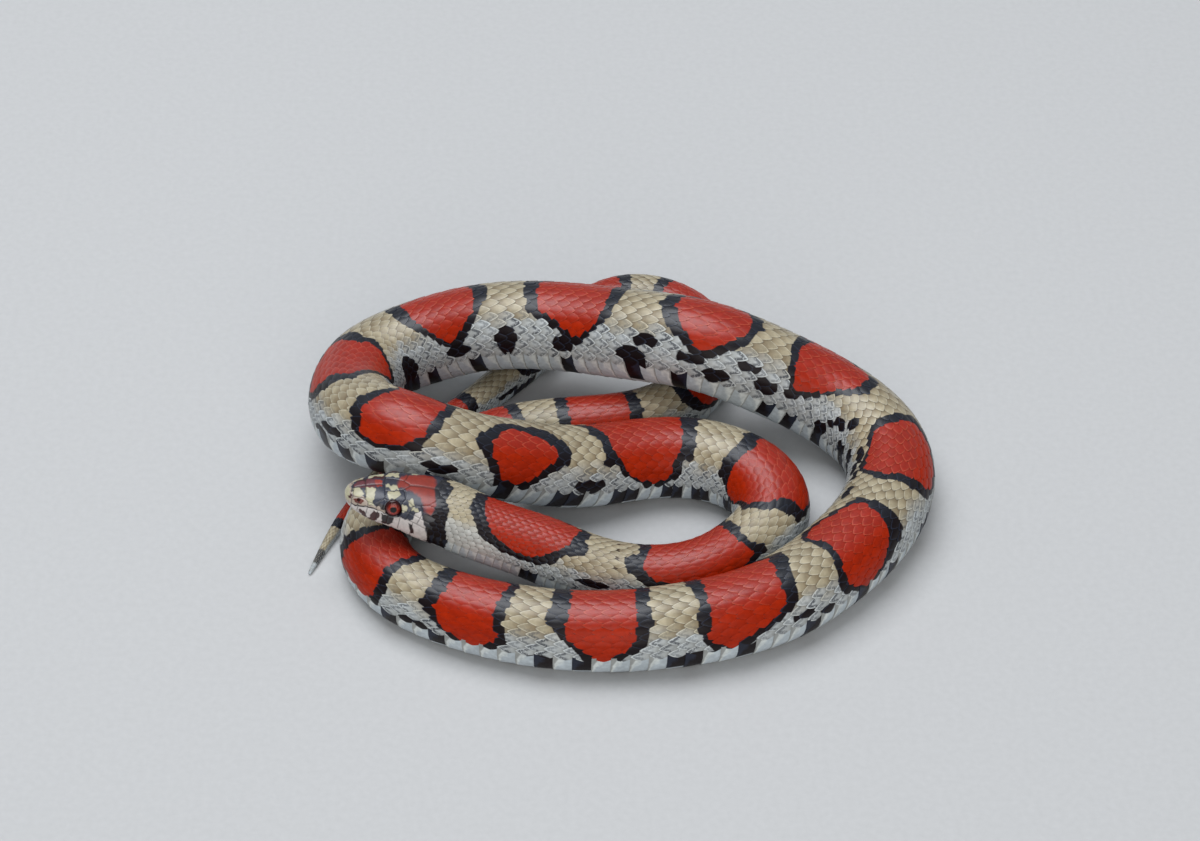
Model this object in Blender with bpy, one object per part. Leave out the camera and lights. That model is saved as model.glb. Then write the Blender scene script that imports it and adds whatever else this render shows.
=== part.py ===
"""A milk snake at rest: one long body laid in three crossing bends on the ground, the chin
held over its own forward bend. The body is parted by thin cuts into a head, a lower jaw, two
eyes, a neck, twelve lengths of body and two of tail. Sizes are in millimetres, and MM turns
them to metres. The belly lies on the floor at z = 0, with the middle of the box over the origin.
"""
import math

import bmesh
import bpy
import numpy as np
from mathutils import Matrix, Vector

MM = 0.001
GAP = 0.3                    # clear space between two pieces that meet

# The line that the middle of the body follows, snout first, set by hand. Each row is x, y,
# the height of the belly above the floor, and half the width of the body there.
ROUTE = [
    # head and neck, held over the forward bend and sloping down to the ground
    (-39.5, -38.0, 15.9, 1.5), (-32.5, -37.5, 11.9, 4.0), (-25.5, -38.0, 9.2, 5.2),
    (-18.0, -39.5, 6.6, 5.2), (-9.5, -41.0, 3.9, 5.3), (-1.0, -43.0, 1.4, 5.3),
    # right-hand turn of the inner bend
    (7.0, -43.5, 0.0, 5.3), (15.5, -42.0, 0.0, 5.3), (23.0, -36.5, 0.0, 5.5),
    (27.0, -30.5, 0.0, 5.9), (26.5, -24.0, 0.0, 6.3), (21.5, -18.5, 0.0, 6.5),
    # back to the left, climbing over the hidden length
    (14.0, -16.0, 0.0, 6.6), (6.0, -17.0, 0.5, 6.6), (-3.5, -20.5, 2.0, 6.7),
    (-12.5, -23.5, 5.5, 6.7), (-21.5, -25.5, 9.2, 6.7), (-31.0, -24.0, 11.5, 6.9),
    # left-hand turn
    (-37.5, -17.5, 9.0, 7.0), (-40.0, -5.0, 4.5, 7.1), (-37.0, 4.0, 3.0, 7.1),
    (-28.5, 8.5, 4.0, 7.2),
    # the back bend, over the tail and then over the hind loop
    (-17.0, 8.5, 7.0, 7.3), (-6.0, 7.0, 8.0, 7.4), (5.0, 3.0, 9.5, 7.5), (16.0, -1.0, 10.5, 7.5),
    (28.0, -3.0, 6.5, 7.4), (37.5, -5.5, 2.5, 7.3),
    # the wide right-hand turn, down to the ground
    (44.5, -12.0, 0.5, 7.2), (46.5, -21.0, 0.0, 7.1), (43.5, -31.5, 0.0, 7.0),
    # the front bend
    (36.5, -41.5, 0.0, 6.9), (26.0, -50.5, 0.0, 6.7), (13.5, -55.0, 0.0, 6.5),
    (0.0, -56.5, 0.0, 6.3), (-13.5, -54.5, 0.0, 6.1), (-24.5, -50.0, 0.0, 5.8),
    # under the chin and under the second bend, to the middle
    (-32.5, -43.5, 0.0, 5.6), (-35.5, -35.0, 0.0, 5.5), (-32.5, -26.0, 0.0, 5.4),
    (-24.0, -15.5, 0.0, 5.3), (-14.5, -9.0, 0.0, 5.1), (-3.0, -6.5, 0.0, 5.0),
    # the hind loop, out behind the back bend and in again
    (6.0, -4.5, 0.0, 4.9), (14.0, 1.0, 0.0, 4.8), (18.0, 11.0, 0.0, 4.6),
    (15.0, 23.0, 0.0, 4.4), (5.0, 28.0, 0.0, 4.2), (-4.5, 22.5, 0.0, 3.8),
    # tail
    (-12.0, 12.5, 0.0, 3.3), (-20.0, 2.5, 0.0, 2.8), (-29.0, -7.0, 0.0, 2.2),
    (-36.0, -16.5, 0.0, 1.6), (-41.0, -25.5, 0.0, 1.15), (-43.5, -31.5, 0.0, 0.8),
    (-45.8, -38.0, 0.0, 0.35),
]
MIDDLE_X, MIDDLE_Y = 3.2, -15.4    # the middle of the box in the route's own numbers
STEPS = 16                         # points worked out between two rows of the route

# A body's cross-section is a loaf: a round back and a flatter belly.
BACK = 0.97                  # height above the middle line for each millimetre of half-width
BELLY = 0.90                 # depth below it
BELLY_SQUARE = 2.5           # 2 is an ellipse, and more is squarer
PRESS = 0.04                 # share of the half-width by which the belly is pressed flat

# The head: distance behind the snout, half-width, height and depth from the middle line.
HEAD = [
    (0.0, 0.0, 0.0, 0.0), (1.0, 2.25, 1.4, 1.3), (2.3, 3.05, 2.0, 1.9), (4.0, 3.8, 2.6, 2.45),
    (6.4, 4.3, 3.1, 2.85), (8.7, 4.65, 3.5, 3.2), (11.0, 5.1, 3.95, 3.65), (13.5, 5.5, 4.25, 4.0),
    (17.0, 5.3, 4.75, 4.4), (20.5, 5.2, 5.04, 4.68), (25.0, 5.2, 5.04, 4.68),
]
HEAD_SQUARE = 2.5            # squareness of the head's section
HEAD_BLEND = (13.0, 21.0)    # between these the section turns from head to body
HEAD_END = 17.0
SNOUT_START = 0.03           # where the first ring stands, just behind the tip

# Ridge over each eye, and the swelling of the lips along the mouth
BROW_AT, BROW_LONG, BROW_ANGLE, BROW_WIDE, BROW_HIGH = 7.4, 2.4, 54.0, 15.0, 0.36
LIP_HIGH, LIP_WIDE = 0.16, 0.7
# The line of the mouth: distance behind the snout, and height from the middle line
MOUTH = [(-2.0, -0.65), (0.0, -0.7), (1.0, -0.75), (4.0, -1.2), (8.0, -1.55), (11.0, -1.9),
         (13.8, -2.1), (16.0, -2.2)]
MOUTH_CORNER = 13.8

# The eye is a flattened ball: how far behind the snout, out from the middle line and up its middle
# stands, half its width, half its depth, and how many degrees it looks up.
EYE_AT, EYE_OUT, EYE_HIGH = 7.5, 3.58, 1.62
EYE_WIDE, EYE_DEEP, EYE_LOOKS_UP = 1.5, 0.72, 13.0
NOSTRIL_AT, NOSTRIL_ANGLE, NOSTRIL_RADIUS = 1.8, 32.0, 0.35

NECK_END, VENT = 42.0, 492.0
BODY_LENGTHS, TAIL_LENGTHS = 12, 2
RING_STEP = 3.2              # along the body, between one ring of the mesh and the next
BODY_SIDES, TAIL_SIDES, HEAD_SIDES, HEAD_RINGS = 20, 12, 32, 26


def clear_scene():
    for thing in list(bpy.data.objects):
        bpy.data.objects.remove(thing, do_unlink=True)


def natural_curve(knots, values):
    """The smooth curve through values at knots, as a function of place."""
    knots, values = np.asarray(knots, float), np.asarray(values, float)
    count, steps = len(knots), np.diff(knots)
    left, right = np.zeros((count, count)), np.zeros(values.shape)
    left[0, 0] = left[-1, -1] = 1
    for row in range(1, count - 1):
        before, after = steps[row - 1], steps[row]
        left[row, row - 1:row + 2] = before, 2 * (before + after), after
        right[row] = 6 * ((values[row + 1] - values[row]) / after
                          - (values[row] - values[row - 1]) / before)
    bend = np.linalg.solve(left, right)

    def curve(place):
        place = np.atleast_1d(np.asarray(place, float))
        row = np.clip(np.searchsorted(knots, place) - 1, 0, count - 2)
        step = steps[row]
        to_end, done = (knots[row + 1] - place), (place - knots[row])
        if values.ndim > 1:
            step, to_end, done = step[:, None], to_end[:, None], done[:, None]
        bent = (bend[row] * to_end ** 3 + bend[row + 1] * done ** 3) / (6 * step)
        start = (values[row] / step - bend[row] * step / 6) * to_end
        end = (values[row + 1] / step - bend[row + 1] * step / 6) * done
        return bent + start + end

    return curve


def middle_line():
    """Points along the middle of the body, how far along each is, and the half-widths there."""
    rows = np.array([(x - MIDDLE_X, y - MIDDLE_Y, lift + (BELLY - PRESS) * half, half)
                     for x, y, lift, half in ROUTE])
    knots = np.concatenate([[0], np.cumsum(np.linalg.norm(np.diff(rows[:, :3], axis=0), axis=1))])
    curve = natural_curve(knots, rows)
    fine = np.concatenate([np.linspace(a, b, STEPS, endpoint=False)
                           for a, b in zip(knots, knots[1:])] + [knots[-1:]])
    points = curve(fine)
    along = np.concatenate([[0], np.cumsum(np.linalg.norm(np.diff(points[:, :3], axis=0), axis=1))])
    return along, points[:, :3], points[:, 3]


ALONG, LINE, HALF = middle_line()
LENGTH = ALONG[-1]
AHEAD = np.gradient(LINE, ALONG, axis=0)
HEAD_SIZE = natural_curve([math.sqrt(row[0]) for row in HEAD], [row[1:] for row in HEAD])
MOUTH_HEIGHT = natural_curve([row[0] for row in MOUTH], [row[1] for row in MOUTH])


def frame_at(s):
    """Middle point, direction towards the tail, and the body's own left and up, s behind the snout."""
    middle = Vector([np.interp(s, ALONG, LINE[:, k]) for k in range(3)])
    back = Vector([np.interp(s, ALONG, AHEAD[:, k]) for k in range(3)]).normalized()
    left = back.cross(Vector((0, 0, 1))).normalized()
    up = left.cross(back)
    if s < 0:
        middle += back * s
    return middle, back, left, up


def place(s, left_by, up_by):
    """A point given by its distance behind the snout and its offsets from the middle line."""
    middle, _, left, up = frame_at(s)
    return middle + left * left_by + up * up_by


def smooth_step(value, low, high):
    t = min(max((value - low) / (high - low), 0), 1)
    return t * t * (3 - 2 * t)


def rounded(angle, square):
    """Cosine and sine of a squared circle."""
    c, s = math.cos(angle), math.sin(angle)
    power = 2 / square
    return math.copysign(abs(c) ** power, c), math.copysign(abs(s) ** power, s)


def body_offsets(s, angle):
    half = float(np.interp(s, ALONG, HALF))
    if angle % math.tau < math.pi:
        return half * math.cos(angle), half * BACK * math.sin(angle)
    c, d = rounded(angle, BELLY_SQUARE)
    return half * c, half * BELLY * d


def bump(value, wide):
    return math.exp(-(value / wide) ** 2)


def head_offsets(s, angle):
    """The head's section, with the ridge over the eye and the lips."""
    half, high, deep = HEAD_SIZE(math.sqrt(s))[0]
    c, d = rounded(angle, HEAD_SQUARE)
    x, z = half * c, (high if d > 0 else deep) * d
    above = math.degrees(math.atan2(d, abs(c)))
    brow = BROW_HIGH * bump(s - BROW_AT, BROW_LONG) * bump(above - BROW_ANGLE, BROW_WIDE)
    front = smooth_step(s, 0.0, 2.0)
    lip = LIP_HIGH * front * bump(z - float(MOUTH_HEIGHT(s)[0]), LIP_WIDE)
    grown = 1 + (brow + lip * (1 - smooth_step(s, MOUTH_CORNER - 2, MOUTH_CORNER + 1))) / half
    return x * grown, z * (1 + brow / half)


def skin_point(s, angle):
    """A point of the skin: s behind the snout, and angle round the body from its left side up."""
    share = smooth_step(s, *HEAD_BLEND)
    x, z = body_offsets(s, angle) if share > 0 else (0, 0)
    if share < 1:
        head_x, head_z = head_offsets(s, angle)
        x, z = head_x + (x - head_x) * share, head_z + (z - head_z) * share
    point = place(s, x, z)
    point.z = max(point.z, 0)
    return point


def new_object(name, bm, collection, material=None):
    mesh = bpy.data.meshes.new(name)
    bm.to_mesh(mesh)
    bm.free()
    thing = bpy.data.objects.new(name, mesh)
    collection.objects.link(thing)
    if material:
        mesh.materials.append(material)
        mesh.shade_smooth()
        mesh.set_sharp_from_angle(angle=math.radians(60))
    return thing


def colour(name, rgb, roughness):
    material = bpy.data.materials.new(name)
    material.use_nodes = True
    shader = material.node_tree.nodes["Principled BSDF"]
    shader.inputs["Base Color"].default_value = (*rgb, 1)
    shader.inputs["Roughness"].default_value = roughness
    shader.inputs["Metallic"].default_value = 0
    return material


def bent_rod(stations, sides):
    """A straight rod with a ring at each station, bent so that it follows the skin. Its own left
    is -X, so that left, up and back stay a right-handed set and the faces keep pointing out."""
    bm = bmesh.new()
    bmesh.ops.create_cone(bm, cap_ends=True, segments=sides, radius1=1, radius2=1, depth=1)
    long_edges = [e for e in bm.edges if abs(e.verts[0].co.z - e.verts[1].co.z) > 0.5]
    bmesh.ops.subdivide_edges(bm, edges=long_edges, cuts=len(stations) - 2, use_grid_fill=True)
    for vert in bm.verts:
        ring = round((vert.co.z + 0.5) * (len(stations) - 1))
        angle = math.atan2(vert.co.y, -vert.co.x)
        vert.co = skin_point(stations[ring], angle) * MM
    return bm


def bent_block(stations, low, high, half_wide):
    """A block across the head whose floor and roof stand at heights given along it."""
    bm = bmesh.new()
    bmesh.ops.create_cube(bm, size=1)
    long_edges = [e for e in bm.edges if abs(e.verts[0].co.x - e.verts[1].co.x) > 0.5]
    bmesh.ops.subdivide_edges(bm, edges=long_edges, cuts=len(stations) - 2, use_grid_fill=True)
    for vert in bm.verts:
        s = stations[round((vert.co.x + 0.5) * (len(stations) - 1))]
        height = high(s) if vert.co.z > 0 else low
        vert.co = place(s, math.copysign(half_wide, -vert.co.y), height) * MM
    return bm


def ball(centre, radius, across, around):
    bm = bmesh.new()
    bmesh.ops.create_uvsphere(bm, u_segments=across, v_segments=around, radius=radius * MM)
    bmesh.ops.translate(bm, verts=bm.verts, vec=centre * MM)
    return bm


def cut(thing, cutter, operation):
    cutter.hide_render = True
    cutter.display_type = "WIRE"
    boolean = thing.modifiers.new(cutter.name, "BOOLEAN")
    boolean.object = cutter
    boolean.operation = operation


def mouth_block(name, end, clear, cutters):
    """The room under the mouth line, from in front of the snout back to the corner."""
    stations = list(np.linspace(-1.5, end, 12))
    roof = lambda s: float(MOUTH_HEIGHT(s)[0]) + clear
    return new_object(name, bent_block(stations, -9.0, roof, 9.0), cutters)


def eyeball(side, clear):
    """The flattened ball of one eye, grown all round by some clear space."""
    bm = bmesh.new()
    bmesh.ops.create_uvsphere(bm, u_segments=20, v_segments=12, radius=1)
    _, back, left, up = frame_at(EYE_AT)
    tilt = math.radians(EYE_LOOKS_UP)
    out = left * (side * math.cos(tilt)) + up * math.sin(tilt)
    turn = Matrix((back, out.cross(back), out)).transposed()
    size = Matrix.Diagonal((EYE_WIDE + clear, EYE_WIDE + clear, EYE_DEEP + clear)) * MM
    bmesh.ops.transform(bm, matrix=(turn @ size).to_4x4(), verts=bm.verts)
    bmesh.ops.translate(bm, verts=bm.verts, vec=place(EYE_AT, side * EYE_OUT, EYE_HIGH) * MM)
    return bm


def make_head(parts, cutters):
    last = math.sqrt(HEAD_END - GAP / 2)
    stations = [u * u for u in np.linspace(math.sqrt(SNOUT_START), last, HEAD_RINGS)]
    head = new_object("head", bent_rod(stations, HEAD_SIDES), parts,
                      colour("head_skin", (0.30, 0.12, 0.10), 0.4))
    jaw = new_object("lower_jaw", bent_rod(stations, HEAD_SIDES), parts,
                     colour("jaw_skin", (0.62, 0.58, 0.54), 0.45))
    cut(head, mouth_block("mouth_room", MOUTH_CORNER + GAP / 2, GAP / 2, cutters), "DIFFERENCE")
    cut(jaw, mouth_block("jaw_room", MOUTH_CORNER - GAP / 2, -GAP / 2, cutters), "INTERSECT")
    eye_colour = colour("eye", (0.35, 0.03, 0.02), 0.08)
    for side, word in ((1, "left"), (-1, "right")):
        new_object("eye_" + word, eyeball(side, 0), parts, eye_colour.copy())
        socket = new_object("socket_" + word, eyeball(side, GAP), cutters)
        cut(head, socket, "DIFFERENCE")
        angle = math.radians(NOSTRIL_ANGLE)
        point = skin_point(NOSTRIL_AT, angle if side > 0 else math.pi - angle)
        nostril = new_object("nostril_" + word, ball(point, NOSTRIL_RADIUS, 10, 7), cutters)
        cut(head, nostril, "DIFFERENCE")


def make_length(name, start, end, sides, parts, rgb):
    """One length of the body or tail, short of its neighbours by half the gap at each end."""
    start, end = start + GAP / 2, min(end - GAP / 2, LENGTH)
    count = max(3, round((end - start) / RING_STEP) + 1)
    stations = list(np.linspace(start, end, count))
    return new_object(name, bent_rod(stations, sides), parts, colour(name + "_skin", rgb, 0.4))


def make_body(parts):
    make_length("neck", HEAD_END, NECK_END, BODY_SIDES, parts, (0.55, 0.10, 0.06))
    ends = np.linspace(NECK_END, VENT, BODY_LENGTHS + 1)
    for number, (start, end) in enumerate(zip(ends, ends[1:]), 1):
        rgb = (0.55, 0.10, 0.06) if number % 2 else (0.58, 0.52, 0.42)
        make_length("body_%02d" % number, start, end, BODY_SIDES, parts, rgb)
    ends = np.linspace(VENT, LENGTH + GAP / 2, TAIL_LENGTHS + 1)
    for number, (start, end) in enumerate(zip(ends, ends[1:]), 1):
        make_length("tail_%02d" % number, start, end, TAIL_SIDES, parts, (0.55, 0.10, 0.06))


def main():
    clear_scene()
    parts = bpy.data.collections.new("milk_snake")
    cutters = bpy.data.collections.new("cutters")
    for collection in (parts, cutters):
        bpy.context.scene.collection.children.link(collection)
    make_head(parts, cutters)
    make_body(parts)


main()
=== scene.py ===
# %% [markdown]
# # A milk snake at rest
# This lesson dresses the plain solids of a milk snake with a skin, about five thousand scales,
# belly plates and eyes. A snake is one long tube, so nearly everything is placed by two numbers:
# how far a point lies behind the snout, and its angle round the body. We work in millimetres and
# turn them to metres at the last moment.

# %% Load the frame
import math

import bmesh
import bpy
import numpy as np
from mathutils import Matrix, Vector


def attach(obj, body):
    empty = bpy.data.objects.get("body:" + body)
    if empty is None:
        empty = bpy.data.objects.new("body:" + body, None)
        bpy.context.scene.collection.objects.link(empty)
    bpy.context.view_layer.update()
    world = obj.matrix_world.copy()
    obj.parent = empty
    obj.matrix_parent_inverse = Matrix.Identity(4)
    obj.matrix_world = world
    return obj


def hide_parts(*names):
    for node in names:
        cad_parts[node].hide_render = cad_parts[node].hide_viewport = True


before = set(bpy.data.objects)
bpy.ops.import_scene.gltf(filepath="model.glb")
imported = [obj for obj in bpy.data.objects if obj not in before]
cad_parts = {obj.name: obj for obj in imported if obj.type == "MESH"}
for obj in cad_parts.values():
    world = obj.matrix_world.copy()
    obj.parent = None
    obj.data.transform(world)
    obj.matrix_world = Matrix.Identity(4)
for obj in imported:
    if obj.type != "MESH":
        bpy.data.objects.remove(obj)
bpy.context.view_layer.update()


MM = 0.001
body_nodes = [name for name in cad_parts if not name.startswith("eye")]

# %% [markdown]
# ## The line of the body
# The middle of the body follows a smooth curve through a few dozen places. Each row holds x, y,
# the height of the belly above the floor and half the width of the body. A natural cubic curve
# passes through every row and bends as little as it can between them, as a springy strip would.

# %% The route
ROUTE = np.array([
    # head and neck, held over the forward bend and sloping down to the ground
    (-39.5, -38.0, 15.9, 1.5), (-32.5, -37.5, 11.9, 4.0), (-25.5, -38.0, 9.2, 5.2),
    (-18.0, -39.5, 6.6, 5.2), (-9.5, -41.0, 3.9, 5.3), (-1.0, -43.0, 1.4, 5.3),
    # right-hand turn of the inner bend
    (7.0, -43.5, 0.0, 5.3), (15.5, -42.0, 0.0, 5.3), (23.0, -36.5, 0.0, 5.5),
    (27.0, -30.5, 0.0, 5.9), (26.5, -24.0, 0.0, 6.3), (21.5, -18.5, 0.0, 6.5),
    # back to the left, climbing over the hidden length
    (14.0, -16.0, 0.0, 6.6), (6.0, -17.0, 0.5, 6.6), (-3.5, -20.5, 2.0, 6.7),
    (-12.5, -23.5, 5.5, 6.7), (-21.5, -25.5, 9.2, 6.7), (-31.0, -24.0, 11.5, 6.9),
    # left-hand turn
    (-37.5, -17.5, 9.0, 7.0), (-40.0, -5.0, 4.5, 7.1), (-37.0, 4.0, 3.0, 7.1),
    (-28.5, 8.5, 4.0, 7.2),
    # the back bend, over the tail and then over the hind loop
    (-17.0, 8.5, 7.0, 7.3), (-6.0, 7.0, 8.0, 7.4), (5.0, 3.0, 9.5, 7.5), (16.0, -1.0, 10.5, 7.5),
    (28.0, -3.0, 6.5, 7.4), (37.5, -5.5, 2.5, 7.3),
    # the wide right-hand turn, down to the ground
    (44.5, -12.0, 0.5, 7.2), (46.5, -21.0, 0.0, 7.1), (43.5, -31.5, 0.0, 7.0),
    # the front bend
    (36.5, -41.5, 0.0, 6.9), (26.0, -50.5, 0.0, 6.7), (13.5, -55.0, 0.0, 6.5),
    (0.0, -56.5, 0.0, 6.3), (-13.5, -54.5, 0.0, 6.1), (-24.5, -50.0, 0.0, 5.8),
    # under the chin and under the second bend, to the middle
    (-32.5, -43.5, 0.0, 5.6), (-35.5, -35.0, 0.0, 5.5), (-32.5, -26.0, 0.0, 5.4),
    (-24.0, -15.5, 0.0, 5.3), (-14.5, -9.0, 0.0, 5.1), (-3.0, -6.5, 0.0, 5.0),
    # the hind loop, out behind the back bend and in again
    (6.0, -4.5, 0.0, 4.9), (14.0, 1.0, 0.0, 4.8), (18.0, 11.0, 0.0, 4.6),
    (15.0, 23.0, 0.0, 4.4), (5.0, 28.0, 0.0, 4.2), (-4.5, 22.5, 0.0, 3.8),
    # tail
    (-12.0, 12.5, 0.0, 3.3), (-20.0, 2.5, 0.0, 2.8), (-29.0, -7.0, 0.0, 2.2),
    (-36.0, -16.5, 0.0, 1.6), (-41.0, -25.5, 0.0, 1.15), (-43.5, -31.5, 0.0, 0.8),
    (-45.8, -38.0, 0.0, 0.35),
])
MIDDLE_X, MIDDLE_Y = 3.2, -15.4      # the middle of the box in the route's own numbers
BACK, BELLY, BELLY_SQUARE, PRESS = 0.97, 0.90, 2.5, 0.04
VENT = 492.0


def natural_curve(knots, values):
    """The smooth curve through values at knots, as a function of place."""
    knots, values = np.asarray(knots, float), np.asarray(values, float)
    values = values.reshape(len(knots), -1)
    count, steps = len(knots), np.diff(knots)
    left, right = np.zeros((count, count)), np.zeros(values.shape)
    left[0, 0] = left[-1, -1] = 1
    for row in range(1, count - 1):
        before, after = steps[row - 1], steps[row]
        left[row, row - 1:row + 2] = before, 2 * (before + after), after
        right[row] = 6 * ((values[row + 1] - values[row]) / after
                          - (values[row] - values[row - 1]) / before)
    bend = np.linalg.solve(left, right)

    def curve(place):
        place = np.asarray(place, float)
        row = np.clip(np.searchsorted(knots, place) - 1, 0, count - 2)
        step = steps[row][..., None]
        to_end, done = (knots[row + 1] - place)[..., None], (place - knots[row])[..., None]
        bent = (bend[row] * to_end ** 3 + bend[row + 1] * done ** 3) / (6 * step)
        start = (values[row] / step - bend[row] * step / 6) * to_end
        return bent + start + (values[row + 1] / step - bend[row + 1] * step / 6) * done

    return curve


def travelled(points):
    return np.concatenate([[0], np.cumsum(np.linalg.norm(np.diff(points, axis=0), axis=1))])


rows = np.column_stack([ROUTE[:, 0] - MIDDLE_X, ROUTE[:, 1] - MIDDLE_Y,
                        ROUTE[:, 2] + (BELLY - PRESS) * ROUTE[:, 3], ROUTE[:, 3]])
knots = travelled(rows[:, :3])
fine = np.concatenate([np.linspace(a, b, 16, endpoint=False) for a, b in zip(knots, knots[1:])]
                      + [knots[-1:]])
line = natural_curve(knots, rows)(fine)
LINE, HALF = line[:, :3], line[:, 3]
ALONG = travelled(LINE)
LENGTH = ALONG[-1]
AHEAD = np.gradient(LINE, ALONG, axis=0)
print("the body is %.0f mm long" % LENGTH)

# %% [markdown]
# ## The surface of the body
# A slice through a snake is a loaf: a round back and a flatter belly. The head has its own slice,
# squarer and lower, and turns smoothly into the neck. Every point of the surface then comes from
# two numbers, s behind the snout and an angle in degrees: 0 is the snake's left side, 90 its back,
# 180 its right side and -90 its belly. The solids follow the same rules, so the skin fits them.

# %% Head and body sections
HEAD = np.array([
    (0.0, 0.0, 0.0, 0.0), (1.0, 2.25, 1.4, 1.3), (2.3, 3.05, 2.0, 1.9), (4.0, 3.8, 2.6, 2.45),
    (6.4, 4.3, 3.1, 2.85), (8.7, 4.65, 3.5, 3.2), (11.0, 5.1, 3.95, 3.65), (13.5, 5.5, 4.25, 4.0),
    (17.0, 5.3, 4.75, 4.4), (20.5, 5.2, 5.04, 4.68), (25.0, 5.2, 5.04, 4.68),
])
HEAD_SQUARE, HEAD_BLEND = 2.5, (13.0, 21.0)
BROW_AT, BROW_LONG, BROW_ANGLE, BROW_WIDE, BROW_HIGH = 7.4, 2.4, 54.0, 15.0, 0.36
LIP_HIGH, LIP_WIDE = 0.16, 0.7
MOUTH = np.array([(-2.0, -0.65), (0.0, -0.7), (1.0, -0.75), (4.0, -1.2), (8.0, -1.55),
                  (11.0, -1.9), (13.8, -2.1), (16.0, -2.2)])
MOUTH_CORNER = 13.8
EYE_AT, EYE_OUT, EYE_HIGH = 7.5, 3.58, 1.62
EYE_WIDE, EYE_DEEP, EYE_LOOKS_UP = 1.5, 0.72, 13.0
NOSTRIL_AT, NOSTRIL_ANGLE = 1.8, 32.0

head_size = natural_curve(np.sqrt(HEAD[:, 0]), HEAD[:, 1:])
mouth_curve = natural_curve(MOUTH[:, 0], MOUTH[:, 1])


def smooth_step(value, low, high):
    t = np.clip((value - low) / (high - low), 0, 1)
    return t * t * (3 - 2 * t)


def bump(value, wide):
    return np.exp(-(value / wide) ** 2)


def squared(angle, square):
    c, s = np.cos(angle), np.sin(angle)
    power = 2 / square
    return np.sign(c) * np.abs(c) ** power, np.sign(s) * np.abs(s) ** power


def frame_at(s):
    """Middle point, direction towards the tail, and the snake's own left and up."""
    middle, back = (np.stack([np.interp(s, ALONG, table[:, k]) for k in range(3)], -1)
                    for table in (LINE, AHEAD))
    back = back / np.linalg.norm(back, axis=-1, keepdims=True)
    left = np.cross(back, [0.0, 0.0, 1.0])
    left = left / np.linalg.norm(left, axis=-1, keepdims=True)
    return middle, back, left, np.cross(left, back)


def section(s, angle):
    """Offsets to the left and up of the middle line."""
    angle = np.radians(angle)
    half = np.interp(s, ALONG, HALF)
    c, d = squared(angle, BELLY_SQUARE)
    upper = np.sin(angle) >= 0
    x = half * np.where(upper, np.cos(angle), c)
    z = half * np.where(upper, BACK * np.sin(angle), BELLY * d)
    near = np.clip(s, 1e-6, 24.9)
    size = head_size(np.sqrt(near))
    c, d = squared(angle, HEAD_SQUARE)
    head_x, head_z = size[..., 0] * c, np.where(d > 0, size[..., 1], size[..., 2]) * d
    above = np.degrees(np.arctan2(d, np.abs(c)))
    brow = BROW_HIGH * bump(near - BROW_AT, BROW_LONG) * bump(above - BROW_ANGLE, BROW_WIDE)
    lip = LIP_HIGH * smooth_step(near, 0, 2) * bump(head_z - mouth_curve(near)[..., 0], LIP_WIDE)
    lip = lip * (1 - smooth_step(near, MOUTH_CORNER - 2, MOUTH_CORNER + 1))
    head_x = head_x * (1 + (brow + lip) / size[..., 0])
    head_z = head_z * (1 + brow / size[..., 0])
    share = smooth_step(s, *HEAD_BLEND)
    return head_x + (x - head_x) * share, head_z + (z - head_z) * share


INSET_HEAD, INSET_BODY = 0.03, 0.15      # how far the skin lies inside the solids


def inset_at(s):
    return INSET_HEAD + (INSET_BODY - INSET_HEAD) * smooth_step(s, 13.0, 16.5)


def base_point(s, angle):
    """A point of the skin, before any scale is laid on it."""
    x, z = section(s, angle)
    inset = inset_at(s)
    size = np.maximum(np.hypot(x, z), 1e-4)
    shrink = np.clip(1 - inset / size, 0.35, 1)
    middle, _, left, up = frame_at(s)
    point = middle + left * (x * shrink)[..., None] + up * (z * shrink)[..., None]
    point[..., 2] = np.maximum(point[..., 2], inset)
    return point


def on_surface(s, angle, height=0.0):
    """A point of the skin moved straight out by height."""
    s, angle = np.broadcast_arrays(np.asarray(s, float), np.asarray(angle, float))
    step, turn = 0.05, 0.6
    before, after = np.maximum(s - step, 0.001), s + step
    across = base_point(s, angle + turn) - base_point(s, angle - turn)
    along = base_point(after, angle) - base_point(before, angle)
    out = np.cross(along, across)
    out /= np.maximum(np.linalg.norm(out, axis=-1, keepdims=True), 1e-12)
    x, z = section(s, angle)
    _, _, left, up = frame_at(s)
    away = left * x[..., None] + up * z[..., None]
    out *= np.sign((out * away).sum(-1, keepdims=True))
    return base_point(s, angle) + out * np.asarray(height, float)[..., None]


# %% [markdown]
# ## Camera, floor and light
# The camera looks down at forty degrees, from about two thirds of a metre, with a long lens. A
# pale floor and two large soft lamps stand in for an overcast sky: soft light from above gives
# smooth scales a broad, quiet shine along the back, and the weaker one in front clears the flanks.

# %% Camera
VIEW_DOWN, VIEW_FAR, MM_PER_PIXEL, PICTURE_WIDE = 40.0, 650.0, 0.165, 1200
camera_data = bpy.data.cameras.new("camera")
camera_data.sensor_width = 36.0
camera_data.lens = 36.0 * (VIEW_FAR / MM_PER_PIXEL) / PICTURE_WIDE
camera_data.clip_start, camera_data.clip_end = 0.01, 10.0
camera = bpy.data.objects.new("camera", camera_data)
bpy.context.scene.collection.objects.link(camera)
down = math.radians(VIEW_DOWN)
camera.location = (-MIDDLE_X * MM, (-MIDDLE_Y - VIEW_FAR * math.cos(down)) * MM,
                   VIEW_FAR * math.sin(down) * MM)
camera.rotation_euler = (math.radians(90 - VIEW_DOWN), 0, 0)
bpy.context.scene.camera = camera
bpy.context.scene.view_settings.view_transform = "Standard"      # colours shown as they are


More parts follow.
